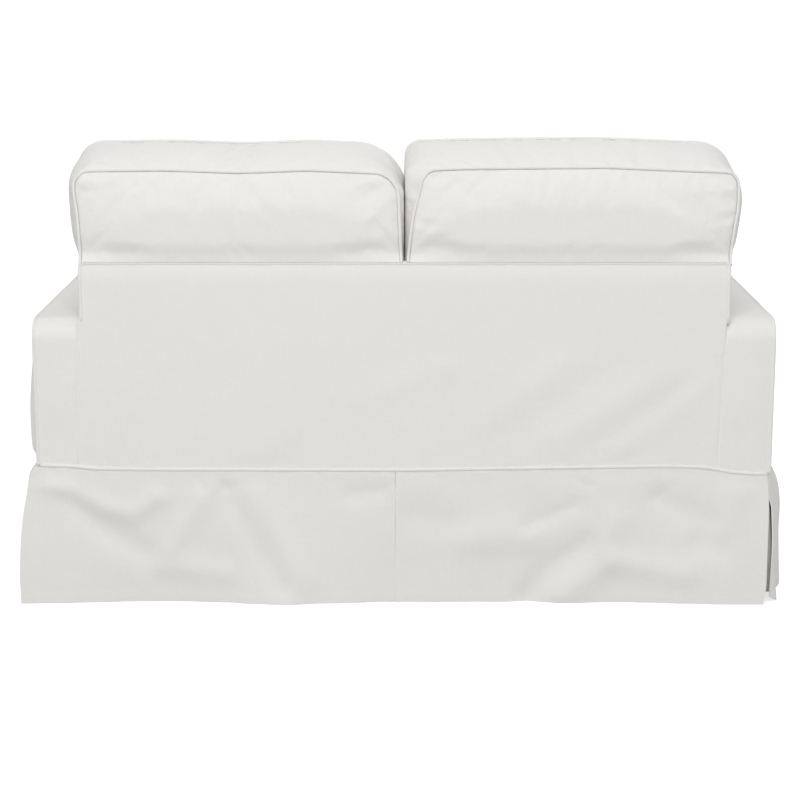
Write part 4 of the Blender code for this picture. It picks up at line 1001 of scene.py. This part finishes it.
def make_front_skirt():
    wall_x = lines(-HALF_WIDTH, HALF_WIDTH, 0.007)[None, :]
    top = WELT_FRONT - TUCK
    z = top * (1.0 - SKIRT_DROP)
    x = wall_x * (1.0 + SKIRT_FRONT_SPREAD * SKIRT_DROP)
    fallen = top - z
    relief = 0.0035 * cloudy(x, z, 0.12, 0.22, 121) * ease(fallen / 0.06)
    relief = relief + gathers(0, (x, fallen, GATHER_SKIRT_FRONT, 123)) + hem_band(z)
    points = joined(x, -HALF_DEPTH - soft(HEM_FRONT, wall_x) * SKIRT_DROP ** HEM_FLARE - relief, z)
    sheet_piece("skirt_front", points, (0, -1, 0))


def make_underlay(side, end):
    """The hanging strip behind a corner slit, round its corner."""
    right_rear = side < 0 < end
    wall_y = HALF_DEPTH - CLOTH - GAP
    inset_y = wall_y if end > 0 else UNDERLAY_LEG - wall_y
    wall_x = HALF_WIDTH - side_inset(side, inset_y) - CLOTH - GAP
    leg = lines(0.0, UNDERLAY_LEG - UNDERLAY_CORNER, 0.006, True, False)
    turn = quarter_turn(8)
    outward = joined(np.sin(turn), np.cos(turn))
    route = np.concatenate((
        joined(wall_x - UNDERLAY_LEG + leg, wall_y)[:-1],
        (wall_x - UNDERLAY_CORNER, wall_y - UNDERLAY_CORNER) + UNDERLAY_CORNER * outward,
        joined(wall_x, wall_y - UNDERLAY_LEG + leg)[::-1][1:],
    ))
    spoke = np.concatenate((
        np.tile((0.0, -1.0), (len(leg) - 1, 1)), -outward, np.tile((-1.0, 0.0), (len(leg) - 1, 1))))
    if end > 0:
        welts = [rear_welt(side * (wall_x - UNDERLAY_LEG)), rear_welt(side * wall_x),
                 side_welt(side, wall_y - UNDERLAY_LEG)]
    else:
        welts = [WELT_FRONT, side_welt(side, -wall_y + UNDERLAY_LEG)]
    v = shares(0.27, 0.008)[None, :]
    hem = UNDERLAY_HEM + (SLIT_UNDERLAY_UP if right_rear else 0.0)
    z = mix(min(welts) - TUCK - 0.001, hem, v)
    waves = cloudy(np.arange(len(route))[:, None] * 0.006, z, 0.03, 0.09, 131)
    lean = UNDERLAY_LEAN * v + 0.0015 * (1 + waves) * v
    lean_out = straight(SLIT_UNDERLAY_OUT, v) if right_rear else 0.0 * v
    x = route[:, :1] + spoke[:, :1] * lean + lean_out * ease((route[:, :1] - wall_x + UNDERLAY_LEG) / 0.03)
    y = route[:, 1:] + spoke[:, 1:] * lean - SLIT_UNDERLAY_BACK * lean_out
    facing = joined(-side * spoke[:, :1], -end * spoke[:, 1:], 0)
    name = "pleat_underlay_" + ENDS[end] + "_" + SIDES[side]
    sheet_piece(name, joined(side * x, end * y, z), facing)


# ---------------------------------------------------------------- piping of the body


def make_skirt_welt():
    rear_x = np.linspace(REAR_WELT[0].x, REAR_WELT[-1].x, 121)
    path = [(x, MID_Y, float(rear_welt(x))) for x in rear_x]
    for side, end, start, finish in ((1, 1, 90, 0), (1, -1, 0, -90), (-1, -1, -90, -180), (-1, 1, 180, 90)):
        corner_x = MID_X - side_inset(side, end * MID_Y) - WELT_CORNER
        for px, py in arc((side * corner_x, end * (MID_Y - WELT_CORNER)), WELT_CORNER, start, finish, 8):
            path.append((px, py, float(side_welt(side, py))))
    keep = [path[0]]
    for point in path[1:]:
        if math.dist(point, keep[-1]) > 1e-4:
            keep.append(point)
    piping_piece("skirt_welt", keep, (0, 0, 1), 141, closed=True)


def make_back_welt():
    x, z = back_route(CLOTH / 2, ARM_TOP + ARM_CROWN + 2 * GAP).T
    sunk = WELT_SUNK * ease((z - BACK_TOP + 0.012) / 0.008)
    path = joined(x, MID_Y - 1.1 * back_roll(BACK_TOP - z) - sunk, z)
    # each end is tucked down and forward, into the seam with the arm
    foot = path[0] + np.array(BACK_WELT_TUCK)
    path = np.concatenate((foot, path, foot[::-1] * (-1, 1, 1)))
    piping_piece("back_welt", path, (0, 1, 0), 143, pitch=0.004)


def make_arm_side_welt(side):
    foot = rear_corner_welt(side) + TUCK
    turn = arc((ARM_TURN_Y, ARM_TURN_Z), ARM_REAR_RADIUS - CLOTH / 2, 0, 90, 12)
    y, z = np.concatenate((((MID_Y, foot), (MID_Y, 0.40)), turn, ((-MID_Y + TUCK, MID_ARM_TOP),))).T
    path = joined(side * (MID_X - side_inset(side, y)), y, z)
    piping_piece("arm_side_welt_" + SIDES[side], path, (1, 0, 0), 145 + side, pitch=0.005)


def make_arm_front_welt(side):
    radius, foot = ARM_FRONT_RADIUS, WELT_FRONT + TUCK
    x, z = np.concatenate((
        ((MID_ARM_INNER, foot),),
        arc((MID_ARM_INNER + radius, MID_ARM_TOP - radius), radius, 180, 90, 8),
        arc((MID_X - radius, MID_ARM_TOP - radius), radius, 90, 0, 8),
        ((MID_X, foot),),
    )).T
    path = joined(side * x, -MID_Y, z)
    piping_piece("arm_front_welt_" + SIDES[side], path, (0, 1, 0), 147 + side, pitch=0.004)


# ---------------------------------------------------------------- cushions


def read_points(mesh, what="co"):
    values = np.empty(len(mesh.vertices) * 3)
    mesh.vertices.foreach_get(what, values)
    return values.reshape(-1, 3)


def write_points(piece, points):
    piece.data.vertices.foreach_set("co", points.ravel())


def settle(piece, pinned, pressure, grow):
    """Fills the sewn case: the seams stay, the cloth between them swells and crumples."""
    group = piece.vertex_groups.new(name="seams")
    group.add(pinned, 1.0, "REPLACE")
    before = read_points(piece.data)
    cloth = piece.modifiers.new("fill", "CLOTH")
    settings = cloth.settings
    settings.quality = 6
    settings.mass = 0.15
    settings.tension_stiffness = settings.compression_stiffness = 25.0
    settings.shear_stiffness = 8.0
    settings.bending_stiffness = 0.6
    settings.air_damping = 2.0
    settings.use_pressure = True
    settings.uniform_pressure_force = pressure
    settings.shrink_min = -grow
    settings.vertex_group_mass = "seams"
    settings.effector_weights.gravity = 0.0
    cloth.collision_settings.use_self_collision = False
    cloth.point_cache.frame_start, cloth.point_cache.frame_end = 1, SIM_FRAMES
    scene = bpy.context.scene
    for step in range(1, SIM_FRAMES + 1):
        scene.frame_set(step)
    after = read_points(piece.evaluated_get(bpy.context.evaluated_depsgraph_get()).data)
    piece.modifiers.remove(cloth)
    scene.frame_set(1)
    move = after - before
    length = np.maximum(np.linalg.norm(move, axis=1, keepdims=True), 1e-9)
    move *= SIM_REACH * np.tanh(length / SIM_REACH) / length
    return before + move


def rim_of(count_a, count_b):
    """The (row, column) places round the edge of a grid, in order."""
    rim = [(0, i) for i in range(count_a + 1)]
    rim += [(j, count_a) for j in range(1, count_b + 1)]
    rim += [(count_b, i) for i in range(count_a - 1, -1, -1)]
    rim += [(j, 0) for j in range(count_b - 1, 0, -1)]
    return np.array(rim)


def rounded_grid(half_a, half_b, corners, count_a, count_b, fold_b=None):
    """Even grid over a rectangle with rounded corners, with a pair of rows at fold_b."""
    rows = np.linspace(-half_b, half_b, count_b + 1)
    if fold_b is not None:
        above = np.searchsorted(rows, fold_b)
        rows[above - 1], rows[above] = fold_b - SLUMP_ROWS, fold_b + SLUMP_ROWS
    a = np.linspace(-half_a, half_a, count_a + 1)[None, :] + np.zeros((count_b + 1, 1))
    b = rows[:, None] + np.zeros((1, count_a + 1))
    low, high = np.where(a < 0, corners[0], corners[1]), np.where(a < 0, corners[2], corners[3])
    radius = np.where(b < 0, low, high)
    da, db = np.maximum(np.abs(a) - half_a + radius, 0.0), np.maximum(np.abs(b) - half_b + radius, 0.0)
    both, scale = on_arc(da, db)
    a = np.where(both, np.copysign(half_a - radius + da * scale, a), a)
    b = np.where(both, np.copysign(half_b - radius + db * scale, b), b)
    return a, b


def seam_creases(along, away, seed):
    """Relief of the short creases that run off a cushion's seams."""
    still = 0.0 * away
    creases = cloudy(along + 0.25 * away, still, CREASE_SPACING, 1.0, seed + 301)
    creases = creases + 0.7 * cloudy(along - 0.45 * away, still, CREASE_SPACING * 2.1, 1.0, seed + 302)
    reach = CREASE_REACH * (1.3 + 0.9 * cloudy(along, still, 0.045, 1.0, seed + 303))
    shown = clamp01(0.55 + 0.7 * cloudy(along, still, 0.11, 1.0, seed + 304))
    fading = clamp01(away / 0.008) * np.exp(-away / reach) * ease((0.075 - away) / 0.04)
    return CREASE_HEIGHT * creases * shown * fading


def winding(vertices, faces):
    """Above zero where the faces of a closed case look outward."""
    a, b, c, d = (vertices[faces[:, k]] - vertices[0] for k in range(4))
    return float((np.cross(c - a, d - b) * (a + b + c + d)).sum())


# The case of a boxed cushion.  half_a, half_b and thick are its sizes, corners the four
# radii of its first seam and of its second, crowns the swell of its two faces, bulge that
# of its boxing, and fill the pressure and the growth of its cloth.
Case = namedtuple("Case", "half_a half_b thick corners crowns bulge welts fill seed")


def boxed_cushion(name, side, case, place, limits, fold_b=None, creases=()):
    """A filled boxed cushion.  place turns (a, b, depth) into left-hand room coordinates
    and limits keeps those clear of what it touches; the case lies folded over an edge at
    fold_b; creases are those of its rear face."""
    half_a, half_b, thick = case.half_a, case.half_b, case.thick
    count_a, count_b = int(2 * half_a / CUSHION_PITCH), int(2 * half_b / CUSHION_PITCH)
    full = (count_a + 1) * (count_b + 1)
    rim = rim_of(count_a, count_b)
    inset = 1.0 - SEAM_SINK / half_a, 1.0 - SEAM_SINK / half_b
    points, cuts, rims, alongs, aways, folded = [], [], [], [], [], []

    def placed(a, b, depth):
        x, y, z = limits(*place(a, b, depth))
        return joined(side * x, y, z)

    def add(where, cut, b, depth, along, away):
        points.append(where.reshape(-1, 3))
        cuts.append(cut.reshape(-1, 3))
        folded.append(b.ravel() + (0.0 if depth < FOLD_DEEP else NO_FOLD))
        alongs.append(along.ravel())
        aways.append(away.ravel())

    for depth, lift, radii in zip((0.0, thick), (-case.crowns[0], case.crowns[1]), case.corners):
        a, b = rounded_grid(half_a, half_b, radii, count_a, count_b, fold_b)
        swell = lift * (clamp01(1.0 - (a / half_a) ** 2) * clamp01(1.0 - (b / half_b) ** 2)) ** 0.6
        proud = math.copysign(FACE_PROUD, lift)
        rims.append((a[rim[:, 0], rim[:, 1]], b[rim[:, 0], rim[:, 1]]))
        side_away, end_away = half_a - np.abs(a), half_b - np.abs(b)
        along = np.where(side_away < end_away, b + np.sign(a), a + 3.0 * np.sign(b))
        where = placed(a * inset[0], b * inset[1], depth + swell + proud)
        add(where, joined(a, b, 0), b, depth, along, np.minimum(side_away, end_away))
    quad = grid_faces(np.arange(full).reshape(count_b + 1, count_a + 1))
    faces = [quad[:, ::-1], quad + full]
    even_rows = np.linspace(BOX_FIRST_ROW, thick - BOX_FIRST_ROW, int(round(thick / CUSHION_PITCH)))
    depths = np.concatenate(((BOX_DITCH,), even_rows, (thick - BOX_DITCH,)))
    ring = rim[:, 0] * (count_a + 1) + rim[:, 1]
    rings, start = [ring], 2 * full
    for depth in depths:
        share = ease(1.7 * depth / thick)
        rim_a, rim_b = mix(rims[0][0], rims[1][0], share), mix(rims[0][1], rims[1][1], share)
        rim_ab = np.stack((rim_a, rim_b), 1)
        ahead = unit(np.roll(rim_ab, -1, 0) - np.roll(rim_ab, 1, 0))
        perimeter = distances(rim_ab)
        if depth in (depths[0], depths[-1]):
            swell = -SEAM_SINK
        else:
            swell = case.bulge * np.sin(math.pi * (depth - BOX_DITCH) / (thick - 2 * BOX_DITCH)) ** 0.6
        where = placed(rim_a + ahead[:, 1] * swell, rim_b - ahead[:, 0] * swell, depth + 0 * rim_a)
        add(where, joined(perimeter, depth, 0), rim_b, depth, perimeter + 7.0,
            np.full(len(rim), min(depth, thick - depth)))
        rings.append(start + np.arange(len(rim)))
        start += len(rim)
    rings.append(ring + full)
    for low, high in zip(rings, rings[1:]):
        faces.append(np.stack((low, np.roll(low, -1), np.roll(high, -1), high), 1))
    vertices, faces = np.concatenate(points), np.concatenate(faces)
    if winding(vertices, faces) < 0.0:
        faces = faces[:, ::-1]
    piece = finish_piece(name + "_filled", vertices, faces.tolist(), np.concatenate(cuts), FILLED, (name,))
    rng = np.random.default_rng(case.seed)
    from_fold = np.full(len(vertices), 1.0) if fold_b is None else np.abs(np.concatenate(folded) - fold_b)
    on_fold = from_fold < 1.5 * SLUMP_ROWS
    shaken = vertices + rng.normal(0.0, SHAKE, vertices.shape)
    pinned = [int(k) for r in (rings[0], rings[1], rings[-2], rings[-1]) for k in r]
    pinned += np.flatnonzero(on_fold | (np.abs(vertices[:, 0]) < PRESSED_TOGETHER)).tolist()
    shaken[pinned] = vertices[pinned]
    write_points(piece, shaken)
    vertices = settle(piece, pinned, *case.fill)
    write_points(piece, vertices)
    piece.data.update()
    relief = seam_creases(np.concatenate(alongs), np.concatenate(aways), case.seed)
    relief = relief * ease(from_fold / FOLD_CALM)
    vertices = vertices + read_points(piece.data, "normal") * relief[:, None]
    calm = ease(aways[0] / 0.010) * ease(from_fold[:full] / FOLD_CALM)
    vertices[:full, 1] += calm * fold_relief(creases, vertices[:full, 0], vertices[:full, 2])
    x, y, z = limits(side * vertices[:, 0], vertices[:, 1], vertices[:, 2])
    write_points(piece, joined(side * x, y, z))
    piece.data.update()
    if fold_b is not None:
        ends = np.array([edge.vertices[:] for edge in piece.data.edges])
        sharp = piece.data.attributes.new("crease_edge", "FLOAT", "EDGE")
        sharp.data.foreach_set("value", (on_fold[ends[:, 0]] & on_fold[ends[:, 1]]).astype(np.float32))
        smooth = piece.modifiers.new("smooth", "SUBSURF")
        smooth.levels = smooth.render_levels = 1
    line = placed(np.zeros(2), np.zeros(2), np.array((0.0, thick)))
    for welt, depth, (rim_a, rim_b) in zip(case.welts, (0.0, thick), rims):
        piping_piece(name + "_" + welt, placed(rim_a, rim_b, depth + 0 * rim_a), unit(line[1] - line[0]),
                     case.seed + int(depth * 1000), closed=True, pitch=0.005, radius=CUSHION_PIPING_R)


def make_back_cushion(cushion):
    lean = math.atan(BACK_RAKE)
    rise, rear_shift = math.cos(lean), math.sin(lean)
    top = max(knot.height for knot in cushion.top)
    half_b = (top - BACK_CUSHION_FOOT) / rise / 2
    foot_y = inside_back_y(BACK_CUSHION_FOOT) - BACK_CUSHION_OFF
    half_a = (max(knot.x for knot in cushion.outer_rear) - cushion.inner_rear[0].x) / 2

    def foot_at(x):
        # the back's rounded top corner lowers the foot there
        past = np.clip(x - BACK_HALF + BACK_CORNER, 0.0, 0.9 * BACK_CORNER)
        return SLUMP_FOOT - BACK_CORNER + np.sqrt(BACK_CORNER ** 2 - past ** 2)

    def limits(x, y, z):
        foot = foot_at(x)
        furthest = HALF_DEPTH + mix(*SLUMP_REACH, ease((z - foot) / SLUMP_REACH_RISE))
        y = np.minimum(y, np.where(z > foot + 1.5 * SLUMP_FOLD, furthest, inside_back_y(z) - CUSHION_REST))
        x = np.clip(x, CUSHION_CLEAR, round_reading(cushion.outer_front, z) + SIDE_SWELL[cushion.side])
        x = np.where(z < ARM_TOP + ARM_HOLD, np.minimum(x, ARM_INNER - CUSHION_CLEAR), x)
        return x, y, np.maximum(z, SEAT_PRESSED + GAP)

    def place(a, b, depth):
        along = b + half_b
        tilt = clamp01(along / (2 * half_b))
        forward = clamp01(depth / BACK_CUSHION_THICK)
        level = BACK_CUSHION_FOOT + along * rise
        # the crown of the rear face dies away where it turns out over the back's top
        crowned = (depth < 0.0) & (level > SLUMP_FOOT)
        depth = np.where(crowned, depth * ease((level - SLUMP_FOOT) / CROWN_RISE), depth)
        inner = mix(round_reading(cushion.inner_rear, level), round_reading(cushion.inner_front, level),
                    ease(5.0 * forward))
        outer = mix(round_reading(cushion.outer_rear, level), round_reading(cushion.outer_front, level),
                    ease(1.7 * forward))
        x = mix(inner, outer, (a / half_a + 1.0) / 2.0)
        sag = (round_reading(cushion.top, x) - top) * ease((level - SLUMP_FOOT) / (top - SLUMP_FOOT))
        y = foot_y + along * rear_shift - depth * mix(1.0, rise, tilt)
        y = y + straight(BACK_SLUMP, level) * (1.0 - forward)
        z = level + sag + depth * rear_shift * ease(tilt)
        # the rows that bend over the back's top lie flat on it
        flat = (np.abs(level - SLUMP_FOOT) < 1.5 * SLUMP_ROWS) & (depth < FOLD_DEEP)
        return x, y, np.where(flat, foot_at(x) + np.where(level > SLUMP_FOOT, SLUMP_FOLD, 0.0), z)

    corners = (cushion.rear_corners, cushion.front_corners)
    case = Case(half_a, half_b, BACK_CUSHION_THICK, corners, BACK_CROWNS, BACK_BULGE,
                ("welt_rear", "welt_front"), BACK_FILL, cushion.seed)
    fold_b = (SLUMP_FOOT - BACK_CUSHION_FOOT) / rise - half_b
    boxed_cushion(cushion.name, cushion.side, case, place, limits, fold_b, CUSHION_CREASES[cushion.side])


def make_seat_cushion(side):
    low = DECK_TOP + PIPING_R + 0.0005
    rear = inside_back_y(low) - CUSHION_REST - PIPING_R
    front = -HALF_DEPTH - SEAT_FRONT_LIP
    inner, outer = CUSHION_SPLIT + PIPING_R, ARM_INNER - CUSHION_REST - PIPING_R
    half_a, half_b = (outer - inner) / 2, (rear - front) / 2

    def limits(x, y, z):
        x = np.clip(x, CUSHION_CLEAR, ARM_INNER - CUSHION_CLEAR)
        y = np.minimum(y, inside_back_y(z) - CUSHION_REST)
        pressed = SEAT_PRESSED + 0.03 * ease((SEAT_PRESSED_FROM - y) / 0.08)
        return x, y, np.minimum(np.maximum(z, DECK_TOP + GAP), pressed)

    def place(a, b, depth):
        return inner + half_a + a, front + half_b + b, low + depth

    case = Case(half_a, half_b, SEAT_TOP - low, SEAT_CORNERS, SEAT_CROWNS, SEAT_BULGE,
                ("welt_lower", "welt_upper"), SEAT_FILL, 35 + side)
    boxed_cushion("seat_cushion_" + SIDES[side], side, case, place, limits)


# ---------------------------------------------------------------- the stage


def make_stage():
    scene = bpy.context.scene
    scene.view_settings.view_transform = "Standard"
    world = bpy.data.worlds.new("Studio")
    scene.world = world
    world.use_nodes = True
    tree = world.node_tree
    tree.nodes.clear()
    path = node(tree, "ShaderNodeLightPath")
    soft_light, seen = node(tree, "ShaderNodeBackground"), node(tree, "ShaderNodeBackground")
    set_inputs(soft_light, {"Color": (0.98, 0.985, 1.0, 1.0), "Strength": WORLD_LIGHT})
    set_inputs(seen, {"Color": (1.0, 1.0, 1.0, 1.0), "Strength": SEEN_BACKDROP})
    blend = node(tree, "ShaderNodeMixShader")
    out = node(tree, "ShaderNodeOutputWorld")
    for socket, source in zip(blend.inputs, (path, soft_light, seen)):
        tree.links.new(source.outputs[0], socket)
    tree.links.new(blend.outputs[0], out.inputs[0])

    bpy.ops.mesh.primitive_plane_add(size=30.0, location=(0, 0, -0.0005))
    floor = bpy.context.object
    floor.name = "studio_floor"
    material = bpy.data.materials.new("Pale studio floor")
    material.use_nodes = True
    shader = material.node_tree.nodes["Principled BSDF"]
    set_inputs(shader, {"Base Color": (*FLOOR_SHADE, 1.0), "Roughness": 0.9, "Specular IOR Level": 0.1,
                        "Emission Color": (1.0, 1.0, 1.0, 1.0)})
    rays = node(material.node_tree, "ShaderNodeLightPath")
    glow = math_node(material.node_tree, "MULTIPLY", rays.outputs["Is Camera Ray"], FLOOR_GLOW)
    material.node_tree.links.new(glow, shader.inputs["Emission Strength"])
    floor.data.materials.append(material)

    for setup in STUDIO_LIGHTS:
        light = bpy.data.lights.new(setup.name, "AREA")
        light.shape = "RECTANGLE"
        light.size, light.size_y = setup.size
        light.energy = setup.power
        light.color = setup.colour
        lamp = bpy.data.objects.new(setup.name, light)
        lamp.location = setup.place
        lamp.rotation_euler = (Vector(setup.aim) - Vector(setup.place)).to_track_quat("-Z", "Y").to_euler()
        scene.collection.objects.link(lamp)


def make_camera():
    data = bpy.data.cameras.new("camera")
    data.lens, data.sensor_width, data.sensor_fit = FOCAL_LENGTH, 36.0, "HORIZONTAL"
    data.clip_end = 100.0
    camera = bpy.data.objects.new("camera", data)
    camera.location = (0.0, HALF_DEPTH + CAMERA_DISTANCE, CAMERA_HEIGHT)
    camera.rotation_euler = (math.radians(90 - CAMERA_PITCH), 0.0, math.radians(180 - CAMERA_YAW))
    bpy.context.scene.collection.objects.link(camera)
    bpy.context.scene.camera = camera


# ---------------------------------------------------------------- all of it
for make in (make_camera, make_stage, make_outside_back, make_back_band, make_inside_back, make_seat_deck,
             make_front_skirt, make_skirt_welt, make_back_welt):
    make()
for side in (1, -1):
    for make in (make_arm_band, make_arm_outer, make_arm_inner, make_arm_front, make_back_skirt,
                 make_side_skirt, make_arm_side_welt, make_arm_front_welt):
        make(side)
    make_underlay(side, 1)
    make_underlay(side, -1)
    make_seat_cushion(side)
for cushion in BACK_CUSHIONS:
    make_back_cushion(cushion)
